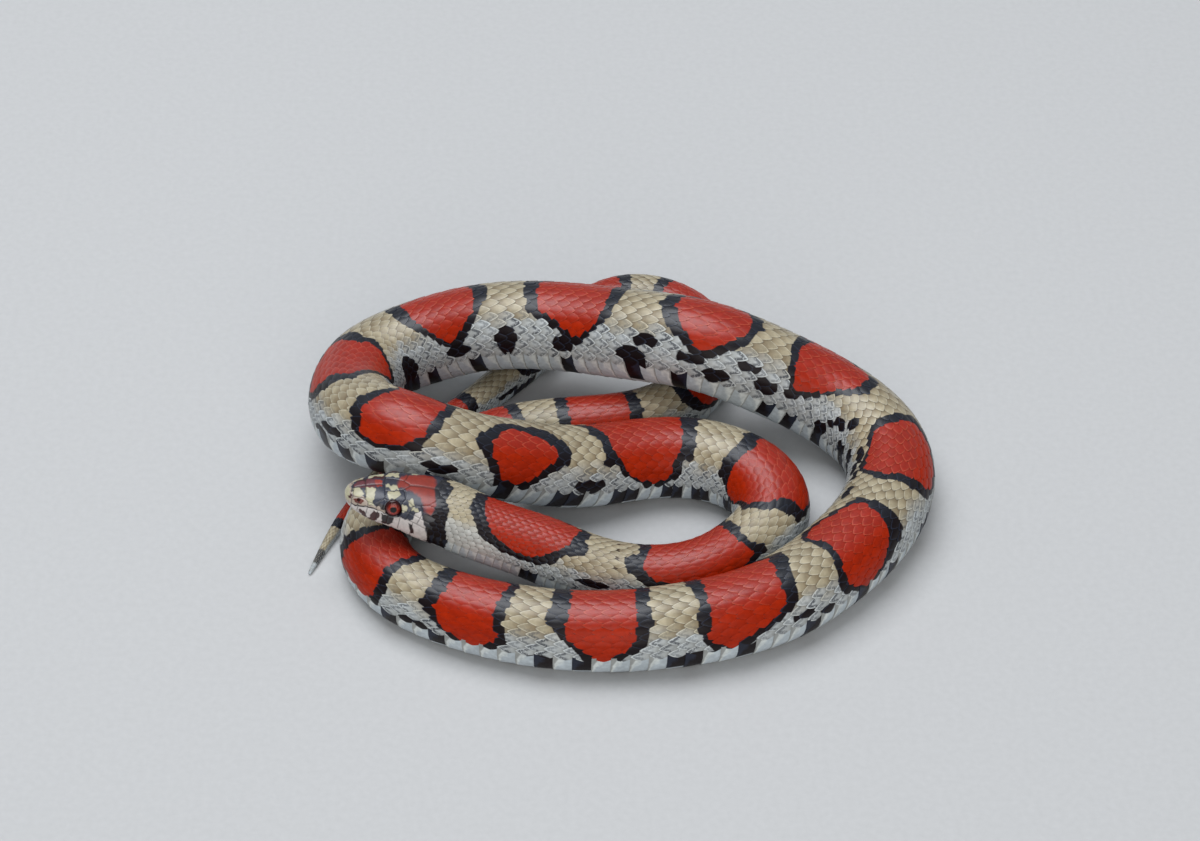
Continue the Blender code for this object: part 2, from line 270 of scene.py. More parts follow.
def new_piece(name, bm, material=None):
    mesh = bpy.data.meshes.new(name)
    bm.to_mesh(mesh)
    bm.free()
    piece = bpy.data.objects.new(name, mesh)
    bpy.context.scene.collection.objects.link(piece)
    if material:
        mesh.materials.append(material)
    return piece


def add_node(tree, kind, settings=None, **inputs):
    """A shader node with its settings, whose inputs are numbers or other nodes' outputs."""
    node = tree.nodes.new(kind)
    for key, value in (settings or {}).items():
        setattr(node, key, value)
    for key, value in inputs.items():
        socket = node.inputs[int(key[1:]) if key[0] == "i" and key[1:].isdigit()
                             else key.replace("_", " ")]
        if isinstance(value, bpy.types.NodeSocket):
            tree.links.new(value, socket)
        else:
            socket.default_value = value
    return node


def linear(red, green, blue):
    """A colour given as on a screen, 0 to 255, as the light values that the shader wants."""
    values = np.array([red, green, blue]) / 255
    return np.where(values <= 0.04045, values / 12.92, ((values + 0.055) / 1.055) ** 2.4)


# %% Floor and light
floor_material = bpy.data.materials.new("pale_floor")
floor_material.use_nodes = True
tree = floor_material.node_tree
shader = tree.nodes["Principled BSDF"]
place = add_node(tree, "ShaderNodeTexCoord").outputs["Object"]
grain = add_node(tree, "ShaderNodeTexNoise", Vector=place, Scale=900.0, Detail=4.0)
shade = add_node(tree, "ShaderNodeMapRange", Value=grain.outputs["Fac"], To_Min=0.52, To_Max=0.59)
tree.links.new(shade.outputs["Result"], shader.inputs["Base Color"])
shader.inputs["Roughness"].default_value = 0.8
bm = bmesh.new()
bmesh.ops.create_grid(bm, x_segments=2, y_segments=2, size=3.0)
bmesh.ops.translate(bm, verts=bm.verts, vec=(0, 0, -0.03 * MM))
floor = new_piece("floor", bm, floor_material)


def soft_lamp(name, location, target, size, power, tint=(1, 1, 1)):
    data = bpy.data.lights.new(name, "AREA")
    data.shape, data.size, data.energy, data.color = "SQUARE", size, power, tint
    lamp = bpy.data.objects.new(name, data)
    bpy.context.scene.collection.objects.link(lamp)
    lamp.location = location
    lamp.rotation_euler = (Vector(target) - Vector(location)).to_track_quat("-Z", "Y").to_euler()
    return lamp


soft_lamp("sky_lamp", (-0.15, 0.15, 0.95), (0, 0, 0), 0.8, 8.5, (0.93, 0.96, 1.0))
soft_lamp("front_lamp", (0.10, -1.2, 0.6), (0, 0, 0), 1.1, 8.0, (1.0, 0.98, 0.95))
world = bpy.data.worlds.new("soft_room")
world.use_nodes = True
background = world.node_tree.nodes["Background"]
background.inputs["Color"].default_value = (0.80, 0.86, 0.92, 1)
background.inputs["Strength"].default_value = 0.30
bpy.context.scene.world = world
print("camera, floor and two lamps are in place")

# %% [markdown]
# ## The pattern
# A milk snake is red, black and cream. Red saddles lie over the back, each in a black border, and
# come to a blunt point on the flanks. We draw each saddle as a tailor would, with a few widths:
# at an angle round the body, where along it the red starts and ends, and the same for the black.
# Only the side that shows is drawn, and the other side mirrors it. The result is not a colour yet
# but a distance, how far inside the edge a place lies, because a distance stays sharp when it is
# spread over a scale.

# %% Saddles


def wrapped(angle):
    """Angles from -90 at the belly to 270, so that the two sides mirror about 90."""
    return np.where(angle < -90, angle + 360, angle)


# each saddle: its red as (angle, start, end), then its black as (angle, start, end)
SADDLES = [
    ([(23, 28.6, 30.4), (30, 26.0, 31.5), (40, 24.0, 33.0), (50, 23.0, 34.3), (60, 22.3, 35.2),
      (75, 21.5, 35.8), (90, 21.0, 36.0), (120, 21.2, 36.8)],
     [(14, 27.0, 31.0), (20, 24.6, 33.2), (30, 22.0, 34.8), (40, 21.4, 35.1), (50, 20.7, 36.0),
      (60, 19.5, 38.5), (75, 18.9, 38.8), (90, 19.1, 38.0), (120, 19.2, 38.8)]),
    ([(22, 56.0, 59.0), (35, 50.5, 64.8), (45, 49.3, 64.3), (60, 48.0, 63.6), (75, 48.2, 63.3),
      (100, 49.4, 63.4), (120, 49.7, 63.8)],
     [(14, 54.0, 61.0), (30, 48.6, 66.6), (40, 47.0, 66.5), (50, 45.4, 65.5), (60, 45.0, 64.9),
      (75, 44.8, 64.6), (90, 47.3, 65.2), (120, 47.4, 65.8)]),
    ([(45, 74.5, 85.5), (60, 74.5, 86.0), (75, 73.8, 85.4), (90, 72.6, 84.7), (105, 71.9, 84.9),
      (120, 71.0, 85.2), (135, 72.2, 85.0), (150, 74.3, 84.7), (160, 75.8, 84.1),
      (170, 77.2, 83.1), (176, 79.5, 81.5)],
     [(45, 72.6, 87.5), (60, 72.2, 88.0), (75, 71.6, 87.9), (90, 70.6, 87.3), (105, 70.0, 87.3),
      (120, 69.4, 87.9), (135, 70.4, 88.0), (150, 72.8, 87.8), (162, 74.8, 85.3),
      (175, 77.5, 83.8), (181, 80.0, 81.5)]),
    ([(60, 97.7, 113.1), (75, 97.7, 112.5), (90, 97.5, 111.3), (105, 97.3, 111.0),
      (120, 97.5, 110.9), (130, 97.9, 110.4), (140, 98.4, 109.5), (150, 99.5, 108.9),
      (160, 99.6, 108.0), (170, 100.7, 106.2), (177, 102.6, 104.2)],
     [(60, 94.9, 115.8), (75, 94.9, 114.2), (90, 95.1, 114.3), (105, 94.7, 112.9),
      (125, 94.5, 112.6), (140, 94.7, 113.0), (147, 97.0, 110.4), (158, 97.3, 109.8),
      (166, 97.5, 108.3), (175, 99.5, 106.0), (182, 102.0, 105.0)]),
    ([(97, 127.5, 129.5), (101, 126.0, 131.1), (110, 123.3, 131.7), (120, 121.8, 132.3),
      (130, 121.3, 132.3), (140, 122.1, 132.0), (150, 123.6, 131.4), (160, 124.5, 130.8),
      (170, 125.7, 130.2), (177, 127.0, 128.6)],
     [(84, 127.0, 130.5), (90, 122.7, 132.0), (100, 121.5, 133.2), (110, 120.0, 134.7),
      (125, 118.8, 135.0), (140, 119.4, 133.5), (150, 121.2, 132.6), (160, 123.3, 132.0),
      (170, 124.5, 131.4), (180, 125.4, 131.1), (186, 127.0, 130.0)]),
    ([(60, 139.5, 146.7), (75, 139.8, 147.0), (90, 140.3, 147.4), (105, 140.9, 148.2),
      (120, 141.1, 148.5), (130, 141.3, 148.2), (140, 141.9, 147.9), (150, 142.8, 147.6),
      (157, 144.9, 146.3)],
     [(60, 137.4, 147.6), (75, 138.3, 147.9), (90, 139.0, 149.1), (105, 139.5, 150.0),
      (120, 139.8, 150.2), (130, 140.3, 150.0), (140, 141.0, 149.4), (150, 141.2, 149.1),
      (157, 142.5, 148.3), (163, 144.8, 146.5)]),
    ([(30, 165.0, 168.0), (40, 162.9, 169.8), (50, 162.0, 171.0), (60, 160.8, 172.4),
      (75, 159.3, 173.4), (90, 158.4, 172.5), (105, 159.9, 172.8), (120, 160.8, 174.0),
      (140, 161.1, 173.0), (150, 161.4, 169.8), (158, 162.5, 164.5)],
     [(22, 164.0, 169.0), (30, 162.5, 170.0), (40, 161.0, 171.3), (50, 159.8, 172.6),
      (60, 158.4, 174.1), (75, 156.6, 175.4), (90, 155.4, 174.3), (105, 156.9, 175.8),
      (120, 157.8, 176.1), (140, 158.6, 175.2), (150, 159.3, 172.5), (160, 160.5, 167.0),
      (166, 162.5, 164.5)]),
    ([(28, 193.0, 194.2), (33, 191.7, 195.0), (40, 190.4, 196.0), (50, 189.0, 197.0),
      (60, 187.8, 197.7), (75, 186.6, 197.9), (90, 186.0, 197.7), (105, 185.6, 197.0),
      (120, 185.2, 196.0)],
     [(22, 191.8, 196.0), (30, 190.6, 196.5), (40, 189.4, 197.2), (50, 187.7, 198.1),
      (60, 186.2, 198.8), (75, 184.3, 199.5), (90, 183.2, 199.9), (105, 183.0, 199.3),
      (120, 182.6, 198.2)]),
    ([(28, 215.2, 216.8), (33, 214.5, 217.5), (40, 212.5, 218.7), (50, 210.3, 219.7),
      (60, 208.1, 220.0), (75, 207.4, 220.3), (90, 207.1, 220.1), (120, 207.3, 219.4)],
     [(20, 214.5, 217.5), (32, 212.5, 218.6), (40, 210.3, 219.8), (50, 207.3, 221.1),
      (60, 205.8, 221.8), (75, 205.6, 222.0), (90, 205.0, 222.4), (120, 204.7, 222.2)]),
    ([(36, 235.4, 236.6), (40, 234.6, 237.2), (50, 234.0, 238.5), (60, 232.8, 239.5),
      (75, 231.7, 240.6), (90, 231.1, 241.1), (120, 231.4, 240.4)],
     [(30, 234.3, 237.3), (40, 233.2, 238.5), (50, 231.7, 239.9), (60, 230.6, 241.1),
      (75, 229.4, 241.9), (90, 228.8, 242.8), (120, 229.4, 242.4)]),
    ([(33, 250.2, 252.4), (40, 250.2, 254.5), (50, 249.5, 256.7), (60, 249.3, 258.4),
      (70, 249.3, 260.6), (80, 249.0, 261.9), (90, 249.3, 262.1), (105, 250.6, 262.0),
      (120, 251.5, 261.7)],
     [(26, 249.8, 253.0), (40, 249.0, 256.0), (50, 248.4, 258.2), (60, 248.1, 260.2),
      (70, 247.8, 262.3), (80, 247.7, 264.0), (90, 247.6, 264.5), (105, 248.4, 264.0),
      (120, 249.3, 263.6)]),
    ([(56, 281.5, 283.0), (62, 275.5, 284.0), (67, 273.6, 284.2), (75, 272.7, 284.8),
      (90, 272.5, 284.9), (105, 272.1, 284.0), (120, 271.8, 283.5), (135, 272.3, 283.1),
      (150, 274.4, 282.7), (160, 277.5, 281.8)],
     [(50, 280.5, 284.0), (58, 274.5, 285.0), (66, 271.8, 285.6), (75, 271.0, 286.1),
      (90, 270.5, 286.5), (105, 270.1, 285.4), (120, 270.6, 285.3), (135, 270.1, 285.0),
      (150, 272.0, 284.4), (163, 275.5, 283.5), (170, 278.0, 281.5)]),
    ([(57, 299.5, 302.5), (65, 296.8, 304.6), (75, 294.0, 304.8), (90, 292.8, 303.7),
      (105, 293.1, 303.6), (120, 293.2, 303.8), (135, 293.8, 304.4), (150, 295.2, 304.6),
      (160, 296.4, 304.4), (172, 297.6, 303.2), (180, 299.6, 301.4)],
     [(50, 299.0, 304.0), (60, 296.0, 305.3), (75, 292.0, 305.6), (90, 291.6, 305.2),
      (105, 291.2, 304.8), (120, 291.0, 305.1), (135, 291.0, 305.6), (150, 291.2, 306.4),
      (160, 292.4, 306.2), (170, 295.2, 305.5), (183, 298.5, 302.5)]),
    ([(55, 312.4, 325.2), (70, 313.0, 325.2), (85, 313.3, 325.2), (100, 314.0, 325.4),
      (115, 314.3, 325.4), (130, 314.4, 325.4), (145, 315.2, 325.8), (155, 316.8, 326.4),
      (165, 319.2, 326.2), (175, 321.0, 324.6), (180, 322.5, 323.5)],
     [(55, 310.0, 327.8), (70, 310.0, 327.8), (90, 310.8, 327.2), (110, 312.0, 326.8),
      (130, 312.4, 327.6), (145, 313.2, 327.8), (155, 314.9, 327.4), (165, 316.8, 327.3),
      (178, 319.5, 326.0), (186, 322.0, 325.0)]),
    ([(55, 335.6, 346.0), (70, 336.0, 346.0), (100, 336.2, 346.0), (115, 336.2, 346.0),
      (130, 336.4, 346.4), (140, 336.5, 346.4), (150, 336.7, 345.9), (160, 337.0, 344.6),
      (170, 338.0, 343.4), (180, 340.0, 342.6), (185, 341.0, 342.0)],
     [(55, 333.4, 349.0), (80, 333.8, 349.0), (100, 334.3, 348.8), (125, 333.8, 349.5),
      (140, 334.4, 348.2), (150, 334.8, 347.2), (160, 335.3, 346.0), (170, 336.5, 344.8),
      (180, 338.5, 344.0), (190, 340.6, 342.6)]),
    ([(65, 356.0, 365.6), (80, 356.4, 365.2), (110, 356.8, 365.2), (125, 357.0, 365.6),
      (140, 356.8, 366.0), (150, 356.4, 365.4), (160, 355.9, 364.8), (170, 356.2, 363.8),
      (180, 357.8, 361.6), (187, 359.2, 360.4)],
     [(65, 354.4, 368.0), (80, 354.8, 368.0), (110, 355.0, 367.7), (125, 355.2, 368.0),
      (140, 355.3, 368.3), (150, 355.0, 367.4), (160, 354.6, 366.0), (170, 354.5, 365.0),
      (180, 355.8, 362.8), (191, 358.8, 360.8)]),
    ([(60, 374.4, 383.6), (75, 374.2, 383.2), (90, 374.8, 382.9), (105, 375.2, 382.8),
      (120, 375.6, 382.8), (150, 375.2, 383.2), (165, 375.6, 383.4), (180, 376.0, 383.2),
      (190, 377.4, 381.4), (195, 378.8, 380.2)],
     [(60, 372.4, 385.2), (75, 372.2, 384.4), (90, 373.2, 384.2), (120, 374.0, 384.6),
      (150, 373.6, 385.2), (165, 374.0, 384.9), (180, 374.7, 384.8), (192, 376.5, 382.8),
      (200, 378.8, 380.4)]),
]
# behind the last one that shows they follow the same rule: middle, half of the red, lowest angle
for middle, half, low in [(398.0, 4.4, 0), (416.8, 4.4, 2), (435.8, 4.8, 4), (454.6, 4.0, 4),
                          (476.0, 4.8, 4), (493.6, 4.4, 0), (510.4, 4.3, 0), (532.8, 4.6, -4),
                          (556.2, 4.2, -8)]:
    widths = [(0, 0.15), (8, 0.5), (20, 0.75), (40, 0.95), (60, 1.0), (90, 1.0)]
    SADDLES.append((
        [(low + a, middle - half * w, middle + half * w) for a, w in widths],
        [(low - 7 + a, middle - (half + 2) * w, middle + (half + 2) * w) for a, w in widths]))


DRAWN_WHOLE = (4, 6, 11, 12)          # these show on both sides, and need no mirror


def with_mirror(rows, whole):
    """Adds the side that isn't drawn, and closes both ends."""
    first, last = rows[0][0], rows[-1][0]
    other = [(180 - angle, start, end) for angle, start, end in rows
             if not first - 1 < 180 - angle < last + 1]
    rows = sorted(rows + (other if not whole else []))
    ends = [(rows[0][0] - 5, rows[0]), (rows[-1][0] + 5, rows[-1])]
    closed = [(angle, (start + end) / 2 + 1, (start + end) / 2 - 1)
              for angle, (_, start, end) in ends]
    return np.array([closed[0], *rows, closed[1]])


SADDLES = [tuple(with_mirror(rows, number in DRAWN_WHOLE) for rows in pair)
           for number, pair in enumerate(SADDLES)]
print("saddles:", len(SADDLES))

# %% [markdown]
# ## Blotches and squares
# Low on the flanks lie small black blotches, and the edge of the belly has black squares, each over
# one or two belly plates. Those that show are placed one by one, and the rest take turns by rule.

# %% Blotches
# middle along the body, angle, half-length in mm, half-height in degrees
BLOTCHES = [
    (41.0, 16, 2.6, 6), (68.0, 176, 2.4, 7), (89.5, 186, 1.4, 5), (115.4, 171, 2.6, 10),
    (118.4, 189, 2.8, 7), (138.4, 171, 2.2, 8), (153.3, 169, 2.4, 8), (156.2, 183, 1.9, 7),
    (150.2, 190, 1.9, 6), (180.0, 14, 3.8, 19), (194.0, 12, 2.6, 10), (202.6, 18, 1.8, 20),
    (213.2, 15, 2.2, 12), (216.0, 24, 1.4, 6), (225.8, 15, 2.6, 8), (228.2, 34, 1.8, 8),
    (226.4, 3, 2.0, 12), (234.6, 21, 1.7, 8), (238.5, 7, 2.1, 8), (242.6, 33, 1.7, 6),
    (246.0, 18, 2.1, 10), (250.8, 24, 1.6, 6), (260.2, 7, 2.0, 9), (262.4, 25, 1.4, 5),
    (265.0, 33, 2.0, 8), (268.0, 47, 1.6, 9), (269.2, 8, 2.2, 9), (274.6, 18, 1.8, 8),
    (278.4, 44, 2.6, 7), (281.6, 34, 1.8, 7), (284.5, 42, 1.4, 7), (290.5, 50, 2.0, 8),
    (276.5, 4, 2.2, 8), (312.6, 168, 1.8, 7), (309.0, 176, 1.3, 6), (327.8, 184, 2.4, 5),
    (350.0, 184, 2.0, 5), (368.8, 180, 2.2, 6), (390.0, 184, 2.0, 6),
]
SQUARES = [
    (13.3, 18.0), (28.4, 33.2), (88.2, 93.4), (96.5, 101.0), (106.0, 110.0), (115.8, 121.0),
    (126.0, 129.5), (136.0, 139.0), (143.0, 146.8), (148.0, 151.8), (154.0, 157.8),
    (165.0, 169.0), (176.0, 183.5), (185.5, 189.5), (193.5, 197.0), (206.0, 209.0),
    (211.0, 215.0), (223.0, 227.5), (231.5, 234.5), (240.0, 243.0), (245.0, 249.0),
    (250.5, 255.0), (259.0, 262.5), (266.5, 270.0), (274.0, 278.0), (282.0, 286.0),
    (292.0, 295.5), (300.0, 303.5), (309.0, 313.0), (318.5, 322.0), (327.2, 332.0),
    (341.0, 344.2), (348.0, 352.0), (363.2, 367.2), (370.4, 374.4), (381.0, 385.0)]
BLOTCH_CYCLE = 18.8


def zones(s, angle):
    """How far in mm a place lies inside the red saddles, and inside the black."""
    s, angle = np.broadcast_arrays(np.asarray(s, float), np.asarray(angle, float))
    angle = wrapped(angle)
    red, black = np.full(s.shape, -9.0), nape_inside(s, angle)
    for red_rows, black_rows in SADDLES:
        near = (s > black_rows[:, 1].min() - 4) & (s < black_rows[:, 2].max() + 4)
        if not near.any():
            continue
        here, turn = s[near], angle[near]
        for rows, field_of in ((red_rows, red), (black_rows, black)):
            start, end = (np.interp(turn, rows[:, 0], rows[:, k]) for k in (1, 2))
            field_of[near] = np.maximum(field_of[near], np.minimum(here - start, end - here))
    for middle, turn, half, reach in BLOTCHES:
        for side in (turn,) if 262 < middle < 300 else (turn, 180 - turn):
            shift = 0.0 if side == turn else 1.5
            near = np.abs(s - middle) < half + 4
            shape = np.hypot((s[near] - middle - shift) / half, (angle[near] - side) / reach)
            black[near] = np.maximum(black[near], (1 - shape) * half)
    hidden = (s > 393) & (s < 560)       # out of sight the low blotches follow one rule
    beat = np.abs((s - 398.0 + BLOTCH_CYCLE / 2) % BLOTCH_CYCLE - BLOTCH_CYCLE / 2)
    low = 10 - np.abs(np.abs(angle - 90) - 84)
    black = np.where(hidden, np.maximum(black, np.minimum(beat - 7.2, low * 0.1)), black)
    return red, black


def shares(red, black, soft=0.1):
    """Red and black shares from 0 to 1, with red over black."""
    red, black = smooth_step(red, -soft, soft), smooth_step(black, -soft, soft)
    return red, black * (1 - red)


NAPE = np.array([(-180, 17.0), (-60, 17.5), (-30, 18.2), (-8, 17.8), (9, 17.0), (30, 16.4),
                 (52, 16.3), (76, 15.3), (96, 15.9), (118, 14.6), (150, 16.4), (190, 18.0),
                 (240, 17.5)])


def nape_inside(s, angle):
    """How far in mm a place lies inside the black of the nape."""
    return np.interp(wrapped(angle), NAPE[:, 0], NAPE[:, 1]) - s


print("blotches:", 2 * len(BLOTCHES))

# %% [markdown]
# ## Colours of the scales
# Each zone has a main tone, a rim tone, and two amounts: how speckled it is and how dark the tips
# of its scales are. Red scales have tiny dark tips and thin pale rims, cream ones have tan roots
# and paler rims, and the pale flank scales have slate specks. The edge of a zone half follows the
# scales: a point asks for its colour half-way between its own place and its scale's middle. The
# tones wander a little from scale to scale, so that no two are quite the same.

# %% Tones
# painted sheen: the red of the back is a little paler and pinker than the red low on the sides
RED_SHEEN_TOP, RED_LOW, RED_DEEP = linear(168, 36, 12), linear(172, 38, 0), linear(128, 22, 2)
# painted highlight in part: the red rims are pale pink on the back and orange-red low on the sides
RED_RIM, RED_RIM_LOW = linear(190, 80, 56), linear(170, 42, 12)
CREAM, TAN, CREAM_RIM = linear(186, 174, 146), linear(136, 120, 94), linear(206, 198, 174)
FLANK, FLANK_ROOT, FLANK_RIM = linear(200, 205, 206), linear(150, 151, 147), linear(216, 221, 220)
# painted reflection of the sky: the black is bluish on the back and browner low on the sides, and its
# rims are pale blue, partly painted reflection
BLACK, BLACK_LOW, BLACK_RIM = linear(20, 22, 32), linear(24, 16, 18), linear(50, 57, 74)
BELLY_WHITE, SLATE, SPECK = linear(190, 199, 204), linear(41, 45, 61), linear(78, 81, 86)
# painted shade: the thin dark line at the very edge of a pale scale, where it meets the next
GAP_SHADE = linear(74, 66, 58)                   # the thin dark line round a pale scale
PARTLY_LONG, PARTLY_ROUND = 0.78, 0.5      # how far a zone's edge ignores the scales


def mix(a, b, share):
    return a + (b - a) * np.asarray(share)[..., None]


def from_top(angle):
    """Degrees from the ridge of the back, either way round."""
    return np.abs(wrapped(angle) - 90)


def field(distance):
    """Millimetres inside an edge, as a number from 0 to 1 with the edge at a half."""
    return np.clip(0.5 + distance / 4, 0, 1)


def scale_layers(s, angle, luck, forward, free_rim, near_tip):
    """The colours and amounts kept at the points of scales. luck holds three numbers from 0 to 1
    for each scale, and forward runs from -1 at a scale's root to 1 at its tip."""
    red, black = zones(s, angle)
    below = from_top(angle)
    one, two, three = (luck[:, k:k + 1] for k in range(3))
    collar = 1 - smooth_step(s, 22.0, 30.0)
    turning = 60 - 17 * (smooth_step(s, 165, 185) - smooth_step(s, 255, 275))
    flank = smooth_step(below + 16 * (one - 0.5) - turning + 8 * collar, -13, 13) * (1 - 0.3 * collar)
    root = (1 - smooth_step(forward, -0.8, 0.3 + 0.4 * two)) * (1 - 0.6 * collar)
    full = s.shape + (3,)
    tone = mix(np.broadcast_to(CREAM, full), TAN, 0.85 * root + 0.25 * two)
    tone = mix(tone, mix(np.broadcast_to(FLANK, full), FLANK_ROOT, 0.7 * root), flank)
    tone = tone * (0.92 + 0.16 * one[..., None])
    tail_end = smooth_step(s, LENGTH - 5.6, LENGTH - 5.0)
    tone = mix(tone, np.broadcast_to(SLATE * 0.6, full), tail_end)
    tone = mix(tone, np.broadcast_to(BELLY_WHITE, full),
               smooth_step(s, LENGTH - 2.5, LENGTH - 2.0))
    rim = mix(np.broadcast_to(CREAM_RIM, full), FLANK_RIM, flank)
    speckle = smooth_step(below - turning, -22, 8) * (0.45 + 0.55 * two) * (1 - collar)
    tip = near_tip * (np.where(three > 0.4, 0.5, 0.1) * (1 - flank) * (1 - collar))
    form = np.stack([np.broadcast_to(free_rim, s.shape), tip, speckle], -1)
    low = smooth_step(below, 22, 50)
    zone = np.stack([field(red), field(black), low, np.broadcast_to(one, s.shape)], -1)
    return {"Tone": np.clip(tone, 0, 1), "Rim": rim, "Form": form, "Zone": zone}


# %% [markdown]
# ## The finish of scales and skin
# Both finishes read colours that are stored on the mesh, one for each point, and add what is too
# fine for the mesh: a pale rim round each scale, specks, a dark tip, and a fine grain. The scale finish
# also paints light: a paler red, pinker red rims and a bluish black on the back as painted sheen and
# reflection of the sky, and a thin dark line at the edge of pale scales as painted shade. A snake's
# scale is horn, clear and smooth, so it has a soft gloss and a thin coat over it.

# %% Materials


def horn_finish(name, roughness, coat, coat_roughness):
    material = bpy.data.materials.new(name)
    material.use_nodes = True
    shader = material.node_tree.nodes["Principled BSDF"]
    shader.inputs["Roughness"].default_value = roughness
    shader.inputs["Specular IOR Level"].default_value = 0.5
    shader.inputs["Coat Weight"].default_value = coat
    shader.inputs["Coat Roughness"].default_value = coat_roughness
    return material, material.node_tree, shader


def blend_colours(tree, share, first, second):
    node = add_node(tree, "ShaderNodeMix", {"data_type": "RGBA"})
    for index, value in ((0, share), (6, first), (7, second)):
        if isinstance(value, bpy.types.NodeSocket):
            tree.links.new(value, node.inputs[index])
        else:
            node.inputs[index].default_value = value
    return node.outputs[2]


def ramp(tree, value, low, high):
    node = add_node(tree, "ShaderNodeMapRange", {"interpolation_type": "SMOOTHSTEP"},
                    Value=value, From_Min=low, From_Max=high)
    return node.outputs["Result"]


def product(tree, first, second):
    return add_node(tree, "ShaderNodeMath", {"operation": "MULTIPLY"}, i0=first,
                    i1=second).outputs[0]


def attribute(tree, name):
    node = add_node(tree, "ShaderNodeAttribute", {"attribute_name": name})
    parts = add_node(tree, "ShaderNodeSeparateColor", Color=node.outputs["Color"])
    return node, [parts.outputs[k] for k in range(3)]


def scale_material():
    material, tree, shader = horn_finish("scale_horn", 0.36, 0.25, 0.28)
    shader.inputs["Specular IOR Level"].default_value = 0.3      # the socket's own value, under the link below
    place = add_node(tree, "ShaderNodeTexCoord").outputs["Object"]
    tone, _ = attribute(tree, "Tone")
    pale_rim, _ = attribute(tree, "Rim")
    _, (edge, tip, speckle) = attribute(tree, "Form")
    zone, (red_field, black_field, low) = attribute(tree, "Zone")
    cloud = add_node(tree, "ShaderNodeTexNoise", Vector=place, Scale=1400.0, Detail=3.0)
    grain = add_node(tree, "ShaderNodeTexNoise", Vector=place, Scale=3200.0, Detail=4.0,
                     Roughness=0.65)
    # pale scales: slate specks inside the rim
    inside = product(tree, ramp(tree, edge, 0.92, 0.70), ramp(tree, edge, 0.10, 0.45))
    specks = product(tree, product(tree, ramp(tree, grain.outputs["Fac"], 0.64, 0.50), inside),
                     speckle)
    pale = blend_colours(tree, specks, tone.outputs["Color"], (*SPECK, 1))
    # red scales: brighter on the back, which is painted sheen, deeper on the sides, each a little
    # different
    red = blend_colours(tree, low, (*RED_SHEEN_TOP, 1), (*RED_LOW, 1))
    red = blend_colours(tree, product(tree, zone.outputs["Alpha"], 0.35), red,
                        (*RED_DEEP, 1))
    # the red rim's pale pink on the back is partly painted highlight
    red_rim = blend_colours(tree, low, (*RED_RIM, 1), (*RED_RIM_LOW, 1))
    # the rim, the tip and the cloudy grain
    wobble = add_node(tree, "ShaderNodeMath", {"operation": "MULTIPLY_ADD"},
                      i0=cloud.outputs["Fac"], i1=0.16, i2=edge)
    rim = product(tree, ramp(tree, wobble.outputs[0], 0.86, 1.00), 0.8)
    pale = blend_colours(tree, rim, pale, pale_rim.outputs["Color"])
    # painted shade along the very edge of each pale scale
    gap_shade = product(tree, ramp(tree, edge, 0.93, 0.985), 0.55)
    pale = blend_colours(tree, gap_shade, pale, (*GAP_SHADE, 1))
    pale = blend_colours(tree, tip, pale, (*linear(84, 70, 60), 1))
    red = blend_colours(tree, rim, red, red_rim)
    # painted reflection of the sky: the black turns bluish on the back and browner on the sides
    black = blend_colours(tree, low, (*BLACK, 1), (*BLACK_LOW, 1))
    black = blend_colours(tree, product(tree, rim, 0.7), black, (*BLACK_RIM, 1))
    edge_noise = add_node(tree, "ShaderNodeMath", {"operation": "MULTIPLY_ADD"},
                          i0=grain.outputs["Fac"], i1=0.05, i2=-0.025)
    black_place = add_node(tree, "ShaderNodeMath", i0=black_field, i1=edge_noise.outputs[0])
    red_place = add_node(tree, "ShaderNodeMath", i0=red_field, i1=edge_noise.outputs[0])
    colour = blend_colours(tree, ramp(tree, black_place.outputs[0], 0.48, 0.52), pale, black)
    colour = blend_colours(tree, ramp(tree, red_place.outputs[0], 0.48, 0.52), colour, red)
    darker = blend_colours(tree, 0.80, (0, 0, 0, 1), colour)
    colour = blend_colours(tree, ramp(tree, cloud.outputs["Fac"], 0.25, 0.75), darker, colour)
    tree.links.new(colour, shader.inputs["Base Color"])
    rough = add_node(tree, "ShaderNodeMapRange", Value=cloud.outputs["Fac"], To_Min=0.30,
                     To_Max=0.44)
    tree.links.new(rough.outputs["Result"], shader.inputs["Roughness"])
    gloss = add_node(tree, "ShaderNodeMapRange", Value=low, To_Min=0.45, To_Max=0.12)
    tree.links.new(gloss.outputs["Result"], shader.inputs["Specular IOR Level"])
    clear = add_node(tree, "ShaderNodeMapRange", Value=low, To_Min=0.22, To_Max=0.04)
    tree.links.new(clear.outputs["Result"], shader.inputs["Coat Weight"])
    relief = add_node(tree, "ShaderNodeBump", Strength=0.25, Distance=0.00003,
                      Height=grain.outputs["Fac"])
    tree.links.new(relief.outputs["Normal"], shader.inputs["Normal"])
    return material


def skin_material():
    material, tree, shader = horn_finish("head_and_skin", 0.36, 0.3, 0.25)
    place = add_node(tree, "ShaderNodeTexCoord").outputs["Object"]
    tone = add_node(tree, "ShaderNodeAttribute", {"attribute_name": "Tone"}).outputs["Color"]
    cloud = add_node(tree, "ShaderNodeTexNoise", Vector=place, Scale=1500.0, Detail=4.0)
    grain = add_node(tree, "ShaderNodeTexNoise", Vector=place, Scale=6000.0, Detail=2.0)
    darker = blend_colours(tree, 0.80, (0, 0, 0, 1), tone)
    colour = blend_colours(tree, ramp(tree, cloud.outputs["Fac"], 0.3, 0.7), darker, tone)
    tree.links.new(colour, shader.inputs["Base Color"])
    relief = add_node(tree, "ShaderNodeBump", Strength=0.2, Distance=0.00002,
                      Height=grain.outputs["Fac"])
    tree.links.new(relief.outputs["Normal"], shader.inputs["Normal"])
    return material


scale_horn, head_horn = scale_material(), skin_material()
print("finishes made:", scale_horn.name, head_horn.name)

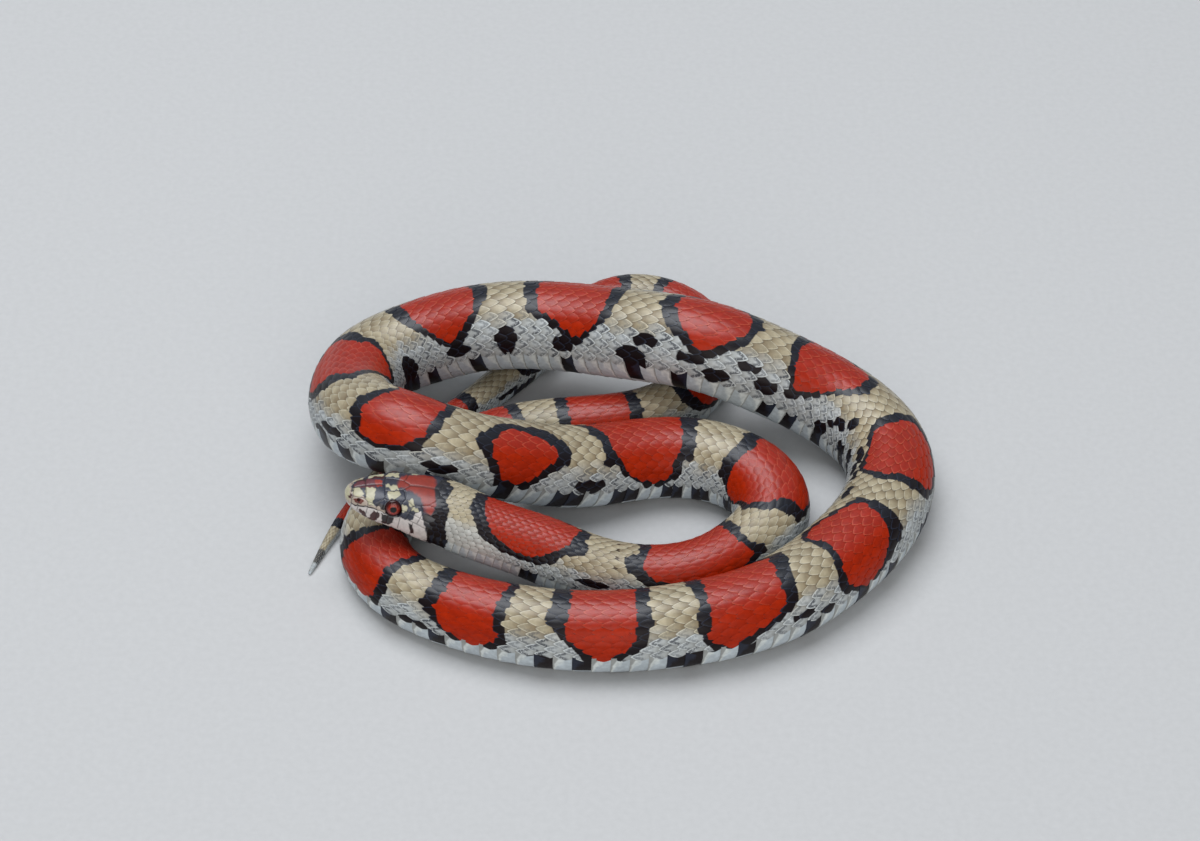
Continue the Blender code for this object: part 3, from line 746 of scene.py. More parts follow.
# %% [markdown]
# ## The shields of the head
# A milk snake's head wears large flat shields, and their number and places are the mark of its
# kind: rostral at the tip, internasals, prefrontals, a frontal between the two supraoculars, and a
# pair of big parietals; on the side nasals, a loreal, preocular, postoculars, temporals and seven
# lip shields. Each is given by its corners, s and angle, on the left side, and mirrored. The skin
# sinks in a narrow groove along every edge and crowns a little between.

# %% Shields
PAIRED_SHIELDS = {
    "internasal": [(1.1, 90), (0.9, 60), (1.0, 46), (1.8, 45), (2.6, 44), (2.8, 66), (2.8, 90)],
    "prefrontal": [(2.8, 90), (2.8, 66), (2.6, 44), (3.2, 34), (4.5, 31), (5.2, 44), (5.8, 54),
                   (5.8, 74), (5.6, 90)],
    "supraocular": [(5.8, 74), (5.8, 54), (6.1, 49), (7.4, 52), (8.8, 48), (9.3, 58), (9.0, 76),
                    (8.6, 81), (7.4, 77)],
    "parietal": [(9.7, 90), (8.6, 81), (9.0, 76), (9.3, 58), (10.7, 45), (13.3, 57), (14.0, 68),
                 (14.5, 80), (14.1, 90)],
    "prenasal": [(1.0, 46), (0.8, 30), (0.9, -2), (1.8, 3), (1.8, 45)],
    "postnasal": [(1.8, 45), (1.8, 3), (3.3, 14), (3.2, 34), (2.6, 44)],
    "loreal": [(3.2, 34), (3.3, 14), (4.7, 14), (4.5, 31)],
    "preocular": [(4.5, 31), (4.7, 14), (6.0, 12), (6.6, 28), (6.1, 49), (5.8, 54), (5.2, 44)],
    "lower_postocular": [(8.4, 12), (9.9, 10), (10.2, 28), (8.6, 29)],
    "upper_postocular": [(8.6, 29), (10.2, 28), (10.7, 45), (9.3, 58), (8.8, 48)],
    "temporal_1": [(9.9, 10), (11.9, 8), (12.2, 23), (10.2, 28)],
    "temporal_2": [(10.2, 28), (12.2, 23), (12.5, 40), (11.9, 50), (10.7, 45)],
    "temporal_3": [(11.9, 8), (14.4, 4), (14.6, 18), (12.2, 23)],
    "temporal_4": [(12.2, 23), (14.6, 18), (15.0, 33), (12.5, 40)],
    "temporal_5": [(12.5, 40), (15.0, 33), (15.2, 52), (13.3, 57), (11.9, 50)],
}
LIP_TOP = np.array([(0.9, -2), (1.9, 3), (3.3, 14), (4.7, 14), (6.0, 12), (7.4, 4), (8.4, 12),
                    (9.9, 10), (11.9, 8), (14.4, 4)])
UPPER_LIP_SEAMS = [0.9, 1.9, 3.3, 5.0, 6.9, 8.9, 11.2, 14.6]
LOWER_LIP_SEAMS = [0.9, 2.2, 3.6, 5.0, 6.4, 7.9, 9.5, 11.2, 13.0, 14.6]
MIDLINE_SHIELDS = {
    "rostral": [(-1, -60), (1.0, -34), (0.9, -2), (0.8, 30), (1.0, 46), (0.9, 60), (1.1, 90),
                (0.9, 120), (1.0, 134), (0.8, 150), (0.9, 182), (1.0, 214), (-1, 240)],
    "frontal": [(5.6, 90), (5.8, 74), (7.4, 77), (8.6, 81), (9.7, 90), (8.6, 99), (7.4, 103),
                (5.8, 106)],
}


def mouth_angle(s):
    """The angle at which the line of the mouth runs on the left side."""
    depth = head_size(np.sqrt(np.clip(s, 0.05, 24)))[..., 2]
    share = np.clip(-mouth_curve(s)[..., 0] / depth, 0, 0.97)
    return -np.degrees(np.arcsin(share ** (HEAD_SQUARE / 2)))


def lip_shields():
    shields = {}
    for number, (start, end) in enumerate(zip(UPPER_LIP_SEAMS, UPPER_LIP_SEAMS[1:]), 1):
        inner = [tuple(row) for row in LIP_TOP if start + 0.2 < row[0] < end - 0.2]
        top = [(start, float(np.interp(start, *LIP_TOP.T)))] + inner
        top.append((end, float(np.interp(end, *LIP_TOP.T))))
        below = [(end, float(mouth_angle(np.array(end)))), (start, float(mouth_angle(np.array(start))))]
        shields["upper_lip_%d" % number] = top + below
    for number, (start, end) in enumerate(zip(LOWER_LIP_SEAMS, LOWER_LIP_SEAMS[1:]), 1):
        first, last = (float(mouth_angle(np.array(value))) for value in (start, end))
        shields["lower_lip_%d" % number] = [(start, first), (end, last), (end, last - 20),
                                            (start, first - 20)]
    for number, (start, end) in enumerate([(1.6, 5.0), (5.0, 9.0), (9.0, 11.5), (11.5, 14.0)], 1):
        first, last = (float(mouth_angle(np.array(value))) - 20 for value in (start, end))
        shields["chin_%d" % number] = [(start, first), (end, last), (end, -90), (start, -90)]
    return shields


PAIRED_SHIELDS.update(lip_shields())


def inside_and_edge(s, angle, corners, radius):
    """Whether places are inside a polygon of corners, and how many mm from its edge they are."""
    to_mm = math.radians(1) * radius
    x, y = s, angle * to_mm
    inside = np.zeros(s.shape, bool)
    nearest = np.full(s.shape, 1e9)
    points = [(a, b * to_mm) for a, b in corners]
    for (x1, y1), (x2, y2) in zip(points, points[1:] + points[:1]):
        crosses = (y1 > y) != (y2 > y)
        with np.errstate(divide="ignore", invalid="ignore"):
            inside ^= crosses & (x < (x2 - x1) * (y - y1) / ((y2 - y1) or 1e-9) + x1)
        length = max((x2 - x1) ** 2 + (y2 - y1) ** 2, 1e-9)
        t = np.clip(((x - x1) * (x2 - x1) + (y - y1) * (y2 - y1)) / length, 0, 1)
        nearest = np.minimum(nearest, np.hypot(x - x1 - t * (x2 - x1), y - y1 - t * (y2 - y1)))
    return inside, nearest


def shield_edges(s, angle):
    """For each place on the head, the distance in mm to the nearest edge of its shield."""
    angle = wrapped(angle)
    folded = np.where(angle > 90, 180 - angle, angle)
    edge = np.full(s.shape, 9.0)
    for shields, turns in ((PAIRED_SHIELDS, folded), (MIDLINE_SHIELDS, angle)):
        for corners in shields.values():
            middle = float(np.mean([c[0] for c in corners]))
            radius = float(head_size(np.sqrt(max(middle, 0.3)))[0]) * 0.9
            inside, distance = inside_and_edge(s, turns, corners, radius)
            edge = np.where(inside, np.minimum(edge, distance), edge)
    return edge


print("shields:", 2 * len(PAIRED_SHIELDS) + len(MIDLINE_SHIELDS))

# %% [markdown]
# ## The markings of the head
# The head is painted as a sign writer would do it, from the ground colour up: slate first, then
# the red crown, the cream spots, the pale lips and their dark bars. Each mark is a small polygon
# of s and angle. The last word of a row says which side it is on: both, left or right.

# %% Head marks
PALE, LIP_WHITE, SPOT_CREAM = linear(176, 160, 146), linear(210, 202, 198), linear(186, 180, 150)
MAROON, DARK, HEAD_RED = linear(62, 24, 24), linear(26, 19, 22), linear(160, 48, 32)
PURPLE, CROWN, SPOT_BROWN = linear(104, 46, 54), linear(146, 46, 32), linear(104, 46, 36)
HEAD_MARKS = [
    (PALE, [(-1, -60), (3.4, -40), (3.4, 34), (2.7, 50), (1.2, 60), (0.7, 90), (-1, 90)], "both"),
    (SPOT_CREAM, [(-1, 0), (0.5, 0), (0.55, 90), (-1, 90)], "both"),
    (DARK, [(0.6, 76), (1.15, 60), (1.3, 66), (1.1, 86), (0.75, 88)], "left"),
    (PURPLE, [(1.0, 90), (1.8, 90), (4.3, 90), (4.2, 80), (2.6, 84), (1.9, 88)], "left"),
    (PURPLE, [(1.0, 90), (4.4, 90), (4.4, 104), (3.0, 112), (1.6, 112)], "right"),
    (MAROON, [(0.35, 20), (0.75, 26), (0.9, 58), (0.55, 60)], "left"),
    (SPOT_CREAM, [(0.9, 88), (2.05, 86), (2.45, 60), (2.35, 50), (1.8, 46), (1.25, 46), (0.95, 58)],
     "left"),
    (SPOT_CREAM, [(1.0, 122), (2.5, 118), (2.6, 140), (1.4, 142)], "right"),
    (SPOT_CREAM, [(2.85, 86), (4.2, 80), (4.25, 57), (3.85, 44), (4.1, 32), (4.5, 26), (3.4, 24),
                  (2.95, 44), (2.7, 66)], "left"),
    (SPOT_CREAM, [(3.2, 112), (5.6, 110), (5.6, 126), (3.4, 130)], "right"),
    (MAROON, [(1.3, 112), (3.0, 104), (3.2, 112), (1.6, 122)], "right"),
    (MAROON, [(3.6, 110), (5.6, 104), (5.9, 112), (4.0, 118)], "right"),
    (HEAD_RED, [(4.3, 100), (5.3, 98), (5.3, 84), (4.5, 86)], "left"),
    (HEAD_RED, [(4.3, 90), (5.3, 90), (5.3, 100), (4.3, 102)], "right"),
    (SPOT_CREAM, [(6.4, 73), (8.1, 77), (8.25, 69), (7.8, 57), (6.4, 52), (6.1, 66)], "left"),
    (SPOT_CREAM, [(5.7, 90), (7.2, 89), (7.9, 87), (8.0, 80), (6.8, 77), (5.9, 86)], "left"),
    (SPOT_CREAM, [(5.8, 112), (7.8, 108), (8.0, 122), (6.2, 124)], "right"),
    (SPOT_CREAM, [(9.6, 57), (10.5, 61), (10.9, 47), (10.1, 42)], "both"),
    (SPOT_CREAM, [(8.8, 46), (9.8, 40), (9.9, 28), (8.9, 26)], "both"),
    (SPOT_CREAM, [(10.3, 42), (11.5, 45), (11.8, 36), (10.6, 34)], "both"),
    (PALE, [(3.2, 14), (6.3, 12), (6.3, 24), (4.6, 26), (3.4, 22)], "both"),
    (DARK, [(4.9, 36), (5.9, 34), (6.2, 24), (5.6, 18), (5.2, 25), (4.7, 27)], "both"),
    (LIP_WHITE, [(-1, -60), (0.9, -3), (1.9, 3), (3.3, 14), (4.7, 14), (6.0, 11), (7.4, 3),
                 (8.4, 11), (9.9, 9), (11.2, 14), (11.2, 32), (12.2, 38), (12.8, 21), (13.6, 2),
                 (14.5, -14), (15.0, -60)], "both"),
    (DARK, [(12.6, 34), (12.9, 21), (13.7, 2), (14.6, -16), (15.1, -40), (16.8, -40), (16.8, 36),
            (14.0, 40)], "both"),
    (DARK, [(1.0, -3), (1.9, 3), (3.3, 14), (5.0, 15), (5.0, 18), (3.3, 18), (1.8, 7), (0.9, 1)],
     "both"),
    (MAROON, [(2.1, -2), (2.9, 0), (3.7, -28), (3.0, -32), (2.3, -16)], "both"),
    (MAROON, [(4.3, 9), (5.4, 7), (5.3, -14), (4.7, -38), (3.7, -36), (4.0, -10)], "both"),
    (DARK, [(5.7, 8), (7.8, 4), (7.9, -6), (7.0, -26), (6.1, -24), (5.9, -8)], "both"),
    (DARK, [(10.4, 4), (11.1, 4), (11.9, -14), (11.5, -18), (11.0, -6)], "both"),
    (SPOT_BROWN, [(1.2, 30), (1.5, 40), (2.1, 42), (2.5, 34), (2.4, 20), (1.8, 13), (1.3, 18)],
     "both"),
]
CROWN_MARKS = {
    "left": [(7.8, 90), (8.6, 84), (9.4, 80), (10.6, 74), (11.5, 66), (12.6, 44), (12.9, 39),
             (13.5, 33), (14.3, 48), (13.9, 72), (13.5, 90)],
    "right": [(7.7, 90), (7.9, 104), (8.8, 116), (11.6, 126), (12.6, 122), (13.2, 108),
              (13.6, 90)],
}


def signed_inside(s, angle, corners):
    """How far in mm a place lies inside a polygon, with places outside counted below zero."""
    inside, edge = inside_and_edge(s, angle, corners, 4.0)
    return np.where(inside, edge, -edge)


def painted_head(s, angle):
    """Tone of each place on the head. Small waves keep the edges of the marks from looking cut."""
    angle = wrapped(angle)
    wavy_s = s + 0.09 * np.sin(angle * 0.19 + 2.1 * s) + 0.05 * np.sin(angle * 0.43 - 3.7 * s)
    angle = angle + 1.4 * np.sin(5.3 * s + 0.11 * angle) + 0.8 * np.sin(9.7 * s)
    folded = np.where(angle > 90, 180 - angle, angle)
    tone = np.broadcast_to(SLATE, s.shape + (3,)).copy()
    tone[(np.abs(angle - 90) > 125)] = LIP_WHITE          # chin and throat
    for side, corners in CROWN_MARKS.items():
        half = angle <= 90 if side == "left" else angle > 90
        share = smooth_step(signed_inside(wavy_s, angle, corners), -0.25, 0.35)
        share = np.where(half & (np.abs(angle - 90) > 4), share,
                         smooth_step(wavy_s, 7.5, 8.1) * (1 - smooth_step(wavy_s, 13.3, 13.8)) * half)
        tone = mix(tone, np.broadcast_to(CROWN, tone.shape), share)
    for colour, corners, side in HEAD_MARKS:
        inside = signed_inside(wavy_s, folded if side == "both" else angle, corners)
        share = smooth_step(inside, -0.07, 0.07)
        if side == "left":
            share = share * (angle <= 90)
        elif side == "right":
            share = share * (angle > 90)
        tone = mix(tone, np.broadcast_to(colour, tone.shape), share)
    front = np.interp(folded, [-60, -16, 0, 18, 54, 70, 90], [15.6, 15.2, 14.6, 13.3, 14.4, 13.9, 13.3])
    band = smooth_step(s, front - 0.15, front + 0.1)
    tone = mix(tone, np.broadcast_to(BLACK, tone.shape), band)
    return tone


# %% [markdown]
# ## One skin
# The skin is a rod of rings, made by Blender's cone tool and cut by its subdivide tool, then bent
# along the route. The rings of the head stand much closer, and its faces are cut again in four,
# because it carries shields, lips, nostrils and the sockets of the eyes as real relief.

# %% Skin mesh
SIDES, HEAD_RINGS, BODY_STEP, FINER = 64, 46, 1.7, 5
HEAD_STEP, HEAD_SOFT = 0.40, 4.0


def head_station(ring):
    """How far behind the snout the rings of the head stand: close at the tip, then even."""
    return HEAD_STEP * (math.sqrt(ring ** 2 + HEAD_SOFT ** 2) - HEAD_SOFT)


head_stations = [0.012] + [head_station(ring) for ring in range(1, HEAD_RINGS)]
body_count = round((LENGTH - 0.05 - head_stations[-1]) / BODY_STEP)
stations = np.array(head_stations + list(np.linspace(head_stations[-1], LENGTH - 0.05,
                                                     body_count + 1))[1:])

bm = bmesh.new()
bmesh.ops.create_cone(bm, cap_ends=True, segments=SIDES, radius1=1, radius2=1, depth=1)
bmesh.ops.rotate(bm, verts=bm.verts, matrix=Matrix.Rotation(math.pi / SIDES, 3, "Z"))
long_edges = [e for e in bm.edges if abs(e.verts[0].co.z - e.verts[1].co.z) > 0.5]
bmesh.ops.subdivide_edges(bm, edges=long_edges, cuts=len(stations) - 2, use_grid_fill=True)
head_top = (HEAD_RINGS - 1) / (len(stations) - 1) - 0.5 + 1e-6
head_faces = [f for f in bm.faces if len(f.verts) == 4 and f.calc_center_median().z < head_top]
head_edges = list({e for f in head_faces for e in f.edges})
bmesh.ops.subdivide_edges(bm, edges=head_edges, cuts=FINER - 1, use_grid_fill=True)
skin = new_piece("snake_skin", bm, head_horn)

# %% Bend the rod and carve the head
mesh = skin.data
count = len(mesh.vertices)
flat = np.empty(count * 3)
mesh.vertices.foreach_get("co", flat)
flat = flat.reshape(-1, 3)
ring = (flat[:, 2] + 0.5) * (len(stations) - 1)
skin_s = np.interp(ring, np.arange(len(stations)), stations)
skin_angle = np.degrees(np.arctan2(flat[:, 1], -flat[:, 0]))


def eye_frame(side):
    """Middle of an eye, and the directions along the head, up over the eye, and out."""
    middle, back, left, up = (vector[0] for vector in frame_at(np.array([EYE_AT])))
    tilt = math.radians(EYE_LOOKS_UP)
    out = left * side * math.cos(tilt) + up * math.sin(tilt)
    over = np.cross(back, out) if side > 0 else np.cross(out, back)
    return middle + left * side * EYE_OUT + up * EYE_HIGH, back, over, out


SOCKET, SOCKET_DEEP = 1.27, 0.75
NOSTRIL_WIDE, NOSTRIL_DEEP = 0.26, 0.45
GROOVE_DEEP, GROOVE_WIDE, CROWN_HIGH = 0.055, 0.075, 0.04


def head_relief(s, angle):
    """How far the skin of the head stands out or sinks, and how deep each place is in a groove."""
    edge = shield_edges(s, angle)
    on_head = 1 - smooth_step(s, 14.2, 15.6)
    groove = bump(edge, GROOVE_WIDE) * on_head
    relief = -GROOVE_DEEP * groove + CROWN_HIGH * (1 - np.exp(-edge / 0.4)) * on_head
    turned = wrapped(angle)
    folded = np.where(turned > 90, 180 - turned, turned)
    radius = head_size(np.sqrt(np.clip(s, 0.05, 24)))[..., 0]
    off_mouth = (folded - mouth_angle(s)) * np.radians(1) * radius * 0.8
    mouth = bump(off_mouth, 0.11) * (1 - smooth_step(s, MOUTH_CORNER - 0.3, MOUTH_CORNER + 0.3))
    relief = relief - 0.20 * mouth
    point = base_point(s, angle)
    for side in (1, -1):
        middle, along, over, out = eye_frame(side)
        local = point - middle
        reach = np.hypot(local @ along, local @ over)
        near = (local @ out) > -1.5
        hole = (1 - smooth_step(reach, SOCKET - 0.10, SOCKET + 0.04)) * near
        rim = bump(reach - SOCKET - 0.20, 0.16) * near
        relief = relief - SOCKET_DEEP * hole + 0.07 * rim
        groove = np.maximum(groove, np.maximum(hole, bump(reach - SOCKET - 0.02, 0.10) * near))
        nostril_angle = NOSTRIL_ANGLE if side > 0 else 180 - NOSTRIL_ANGLE
        centre = base_point(np.array([NOSTRIL_AT]), np.array([nostril_angle]))[0]
        reach = np.linalg.norm(point - centre, axis=-1)
        pit = 1 - smooth_step(reach, NOSTRIL_WIDE - 0.12, NOSTRIL_WIDE + 0.06)
        relief = relief - NOSTRIL_DEEP * pit + 0.05 * bump(reach - NOSTRIL_WIDE - 0.12, 0.12)
        groove = np.maximum(groove, pit)
    return relief, np.maximum(groove, mouth)


relief = np.zeros(count)
groove = np.zeros(count)
on_head = skin_s < 16.5
relief[on_head], groove[on_head] = head_relief(skin_s[on_head], skin_angle[on_head])
points = on_surface(skin_s, skin_angle, relief)
points[:, 2] = np.maximum(points[:, 2], 0.02)
mesh.vertices.foreach_set("co", (points * MM).ravel())
mesh.update()

# %% Paint the skin
red, dark = shares(*zones(skin_s, skin_angle))
flank = smooth_step(from_top(skin_angle), 45, 80)
skin_tone = mix(np.broadcast_to(linear(78, 62, 44), (count, 3)), linear(84, 86, 86), flank)
skin_tone = mix(skin_tone, np.broadcast_to(linear(104, 30, 18), skin_tone.shape), red)
skin_tone = mix(skin_tone, np.broadcast_to(BLACK, skin_tone.shape), dark)
skin_tone = mix(skin_tone, np.broadcast_to(BELLY_WHITE, skin_tone.shape),
                smooth_step(skin_s, LENGTH - 2.4, LENGTH - 1.6))
head_tone = painted_head(skin_s, skin_angle)
# painted shade: the grooves, the line of the mouth, the eye sockets and the nostrils are darkened;
# along the seams of the shields this is also their dark skin
head_tone = mix(head_tone, np.broadcast_to(linear(22, 17, 20), head_tone.shape), 0.7 * groove)
skin_tone = mix(head_tone, skin_tone, smooth_step(skin_s, 14.6, 15.2))


def store_colour(mesh, name, values):
    """Keeps a colour for each point of a mesh, for the finish to read."""
    layer = mesh.attributes.new(name, "FLOAT_COLOR", "POINT")
    full = np.ones((len(values), 4), np.float32)
    full[:, :values.shape[1]] = values
    layer.data.foreach_set("color", full.ravel())


store_colour(mesh, "Tone", skin_tone)
mesh.shade_smooth()
print("skin faces:", len(mesh.polygons))

# %% [markdown]
# ## One scale, many times
# A dorsal scale is a thin diamond plate, a little crowned, that rises towards its free tip and lies
# over the roots of the scales behind. We shape one from Blender's grid, with a skirt and a closed
# underside, so that each scale is a solid. The grid's two directions become the diamond's edges.

# %% Scale template
CUTS = 6


def plate(cuts_one, cuts_two):
    """A square plate from -1 to 1: its points, their layer (0 on top, 1 at the foot), its faces."""
    bm = bmesh.new()
    bmesh.ops.create_grid(bm, x_segments=cuts_one, y_segments=cuts_two, size=1)
    rim = [e for e in bm.edges if e.is_boundary]
    grown = bmesh.ops.extrude_edge_only(bm, edges=rim)
    foot = [v for v in grown["geom"] if isinstance(v, bmesh.types.BMVert)]
    bmesh.ops.translate(bm, verts=foot, vec=(0, 0, -1))
    bmesh.ops.holes_fill(bm, edges=[e for e in bm.edges if e.is_boundary], sides=0)
    bmesh.ops.recalc_face_normals(bm, faces=bm.faces)
    bm.verts.index_update()
    points = np.array([v.co[:] for v in bm.verts])
    faces = [[v.index for v in f.verts] for f in bm.faces]
    bm.free()
    return points, faces


def many_plates(name, faces, points, layers, uv, material):
    """One mesh of many copies of a plate. points is copies by points by 3, in mm."""
    copies, each = points.shape[:2]
    sizes = np.array([len(f) for f in faces])
    corners = np.concatenate([np.array(f) for f in faces])
    all_corners = (corners[None] + np.arange(copies)[:, None] * each).ravel()
    mesh = bpy.data.meshes.new(name)
    mesh.vertices.add(copies * each)
    mesh.loops.add(len(all_corners))
    mesh.polygons.add(copies * len(faces))
    mesh.vertices.foreach_set("co", (points * MM).astype(np.float32).ravel())
    mesh.loops.foreach_set("vertex_index", all_corners.astype(np.int32))
    starts = np.concatenate([[0], np.cumsum(np.tile(sizes, copies))[:-1]])
    mesh.polygons.foreach_set("loop_start", starts.astype(np.int32))
    mesh.update(calc_edges=True)
    for key, values in layers.items():
        store_colour(mesh, key, values.reshape(copies * each, -1))
    bake = mesh.uv_layers.new(name="OFBake")
    bake.data.foreach_set("uv", uv.reshape(-1, 2)[all_corners].astype(np.float32).ravel())
    mesh.materials.append(material)
    mesh.shade_smooth()
    mesh.set_sharp_from_angle(angle=math.radians(50))
    piece = bpy.data.objects.new(name, mesh)
    bpy.context.scene.collection.objects.link(piece)
    return piece


scale_points, scale_faces = plate(CUTS, CUTS)
print("one scale has", sum(len(f) - 2 for f in scale_faces), "triangles")

# %% [markdown]
# ## Rows and columns
# A milk snake has about twenty rows of smooth scales round its body, fewer towards the tail, and
# one broad belly plate for each column. Columns stand about two and a half millimetres apart, and
# half of that on the neck. Every second row is shifted by half a step, as bricks are in a wall.

# %% Columns
ROW_PLAN = [(14.6, 44.0, 21), (44.0, 390.0, 19), (390.0, VENT, 17), (VENT, 536.0, 13),
            (536.0, LENGTH - 0.8, 9)]
STEP_PLAN = np.array([(14, 1.2), (20, 1.25), (33, 1.6), (42, 1.95), (60, 2.25), (110, 2.4),
                      (240, 2.45), (288, 2.25), (320, 2.5), (345, 2.65), (400, 2.5),
                      (450, 2.2), (VENT, 1.9), (530, 1.7), (573, 1.0)])
BELLY_EDGE = -3.0             # the scales stop and the belly plates begin
ARC = 180 - 2 * BELLY_EDGE

plan = []
for start, end, scale_rows in ROW_PLAN:
    s = start
    while s < end:
        step = float(np.interp(s, *STEP_PLAN.T))
        plan.append((s, step, scale_rows))
        s += step
print("columns of scales:", len(plan))

scale_list = []
for s, step, scale_rows in plan:
    turn = ARC / scale_rows
    for number in range(scale_rows):
        shift = 0.5 * step if number % 2 else 0.0
        scale_list.append((s + shift, BELLY_EDGE + (number + 0.5) * turn, step, turn))
scale_list = np.array(scale_list)
print("dorsal scales:", len(scale_list))

# %% [markdown]
# ## Laying the scales
# Each scale is stretched to its own place: its root lies low, under the tips before it, and its tip
# stands a tenth of a millimetre higher, so it hides the roots behind it. The diamond is pulled out
# to a fuller curve, as a real scale has. On the neck the scales are short and plump, like beads.
# Each point stores how near it is to the rim and to the tip, for the finish.

# %% Lay them
HALF_LONG, HALF_WIDE = 0.62, 0.69
LIFT, SCALE_CROWN, SCALE_FOOT = 0.12, 0.055, -0.10


def fuller(forward, sideways, roundness):
    """Pulls a diamond out to a rounded one, and gives the nearness to the rim from 0 to 1."""
    near = np.abs(forward) + np.abs(sideways)
    curved = (np.abs(forward) ** roundness + np.abs(sideways) ** roundness) ** (1 / roundness)
    pull = near / np.maximum(curved, 1e-6)
    return forward * pull, sideways * pull, near


def lay_scales(name, chosen, seed):
    luck = np.random.default_rng(seed).random((len(chosen), 3))
    a, b, layer = scale_points[:, 0], scale_points[:, 1], -scale_points[:, 2]
    centre_s, centre_angle, size, turn = (chosen[:, k:k + 1] for k in range(4))
    plump = 1 - smooth_step(centre_s, 22.0, 50.0)
    forward, sideways, rim = fuller((a + b)[None] / 2, (a - b)[None] / 2, 1.32 + 0.5 * plump)
    s = centre_s + forward * size * (HALF_LONG - 0.06 * plump)
    angle = centre_angle + sideways * turn * (HALF_WIDE - 0.09 * plump)
    s = np.clip(s, 0.2, LENGTH - 0.02)
    fitted = np.minimum(size / 1.6, 1.0)
    tilt = 1 + 0.3 * (luck[:, :1] - 0.5)
    crown = SCALE_CROWN * (1 + 0.8 * plump) * (1 - rim ** 2)
    height = LIFT * tilt * (forward + 1) / 2 + crown
    height = np.where(layer > 0.5, SCALE_FOOT, height) * fitted
    points = on_surface(s, angle, height)
    points[..., 2] = np.maximum(points[..., 2], 0.0)
    ask_s = centre_s + (s - centre_s) * PARTLY_LONG
    ask_angle = centre_angle + (angle - centre_angle) * PARTLY_ROUND
    free_rim = np.where(layer > 0.5, 1.0, rim) * smooth_step(forward, -0.5, 0.1)
    near_tip = smooth_step(forward, 0.66, 0.96) * bump(sideways, 0.20)
    layers = scale_layers(ask_s, ask_angle, luck, forward, free_rim, near_tip)
    root = np.stack([chosen[:, 0] / LENGTH, (chosen[:, 1] + 90) / 360], -1)
    patch = np.stack([forward, sideways], -1) * 0.0015
    uv = np.clip(root[:, None] + patch, 0.0, 1.0)
    return many_plates(name, scale_faces, points, layers, uv, scale_horn)


COAT_PARTS = 5
limits = np.linspace(0, len(scale_list), COAT_PARTS + 1).astype(int)
coat = []
for number, (start, end) in enumerate(zip(limits, limits[1:]), 1):
    piece = lay_scales("back_scales_%d" % number, scale_list[start:end], 40 + number)
    coat.append(piece)
    print(piece.name, "scales:", end - start)

# %% [markdown]
# ## Belly plates
# Under the body one broad plate spans the belly for each column, its free edge towards the tail.
# Past the vent the plates are paired. The belly is
# bluish white with black squares, and a square covers whole plates.

# %% Lay the plates
plate_points, plate_faces = plate(4, 14)


def belly_black(s, angle, luck):
    """Where the belly is black: squares at both edges, and smaller ones that take turns."""
    black = np.zeros(s.shape, bool)
    for start, end in SQUARES:
        black |= (s > start + 0.7) & (s < end - 0.4) & (np.abs(angle + 90) > 38 + 26 * luck)
    beat = (s + np.where(angle > -90, 0.0, 5.3) + 1.5 * np.sin(s * 0.37)) % 10.6
    rule = (beat < 4.4) & (np.abs(angle + 90) > 40 - 12 * np.sin(s * 0.9) ** 2)
    by_rule = ((s > 36) & (s < 84)) | (s > 390)      # the parts that no square above is given for
    middle = ((s * 1.0 + 2 * np.sin(s * 0.21)) % 13.0 < 3.4) & (np.abs(angle + 98) < 22)
    return black | (rule & by_rule) | middle



def lay_plates(name, chosen, seed):
    """chosen holds s, length, middle angle and half-span for each plate."""
    luck = np.random.default_rng(seed).random((len(chosen), 3))
    forward, sideways, layer = plate_points[:, 0], plate_points[:, 1], -plate_points[:, 2]
    bow = 0.10 * (1 - sideways ** 2)
    s = chosen[:, :1] + chosen[:, 1:2] * (forward * 0.60 + bow * (forward > -0.9))
    s = np.clip(s, 0.2, LENGTH - 0.02)
    angle = chosen[:, 2:3] + sideways * chosen[:, 3:4]
    height = LIFT * (forward + 1) / 2 + 0.02
    height = np.where(layer > 0.5, SCALE_FOOT, height)
    height = height * np.minimum(chosen[:, 1:2] / 2.0, 1.0)
    points = on_surface(s, angle, height)
    points[..., 2] = np.maximum(points[..., 2], 0.0)
    middle_s = np.broadcast_to(chosen[:, :1], s.shape)
    dark = belly_black(middle_s, angle, luck[:, :1]) & (middle_s < LENGTH - 30)
    tone = np.broadcast_to(BELLY_WHITE, s.shape + (3,)) * (0.92 + 0.16 * luck[:, :1, None])
    tail_end = (middle_s > LENGTH - 5.2)[..., None]
    tone = np.where(tail_end, SLATE * 0.6, tone)
    tone = np.where((middle_s > LENGTH - 2.2)[..., None], BELLY_WHITE, tone)
    edge = np.broadcast_to(linear(222, 226, 222), tone.shape)
    rim = np.maximum(np.abs(forward), np.abs(sideways)) * smooth_step(forward, -0.5, 0.1)
    form = np.stack([np.broadcast_to(rim, s.shape), np.zeros(s.shape), np.zeros(s.shape)], -1)
    zone = np.stack([np.zeros(s.shape), np.where(dark, 1.0, 0.0), np.ones(s.shape),
                     np.zeros(s.shape)], -1)
    layers = {"Tone": tone, "Rim": edge, "Form": form, "Zone": zone}
    root = np.stack([chosen[:, 0] / LENGTH, (chosen[:, 2] + 90) % 360 / 360], -1)
    patch = np.stack([forward, sideways], -1) * 0.0015
    uv = np.clip(root[:, None] + patch[None], 0.0, 1.0)
    return many_plates(name, plate_faces, points, layers, uv, scale_horn)


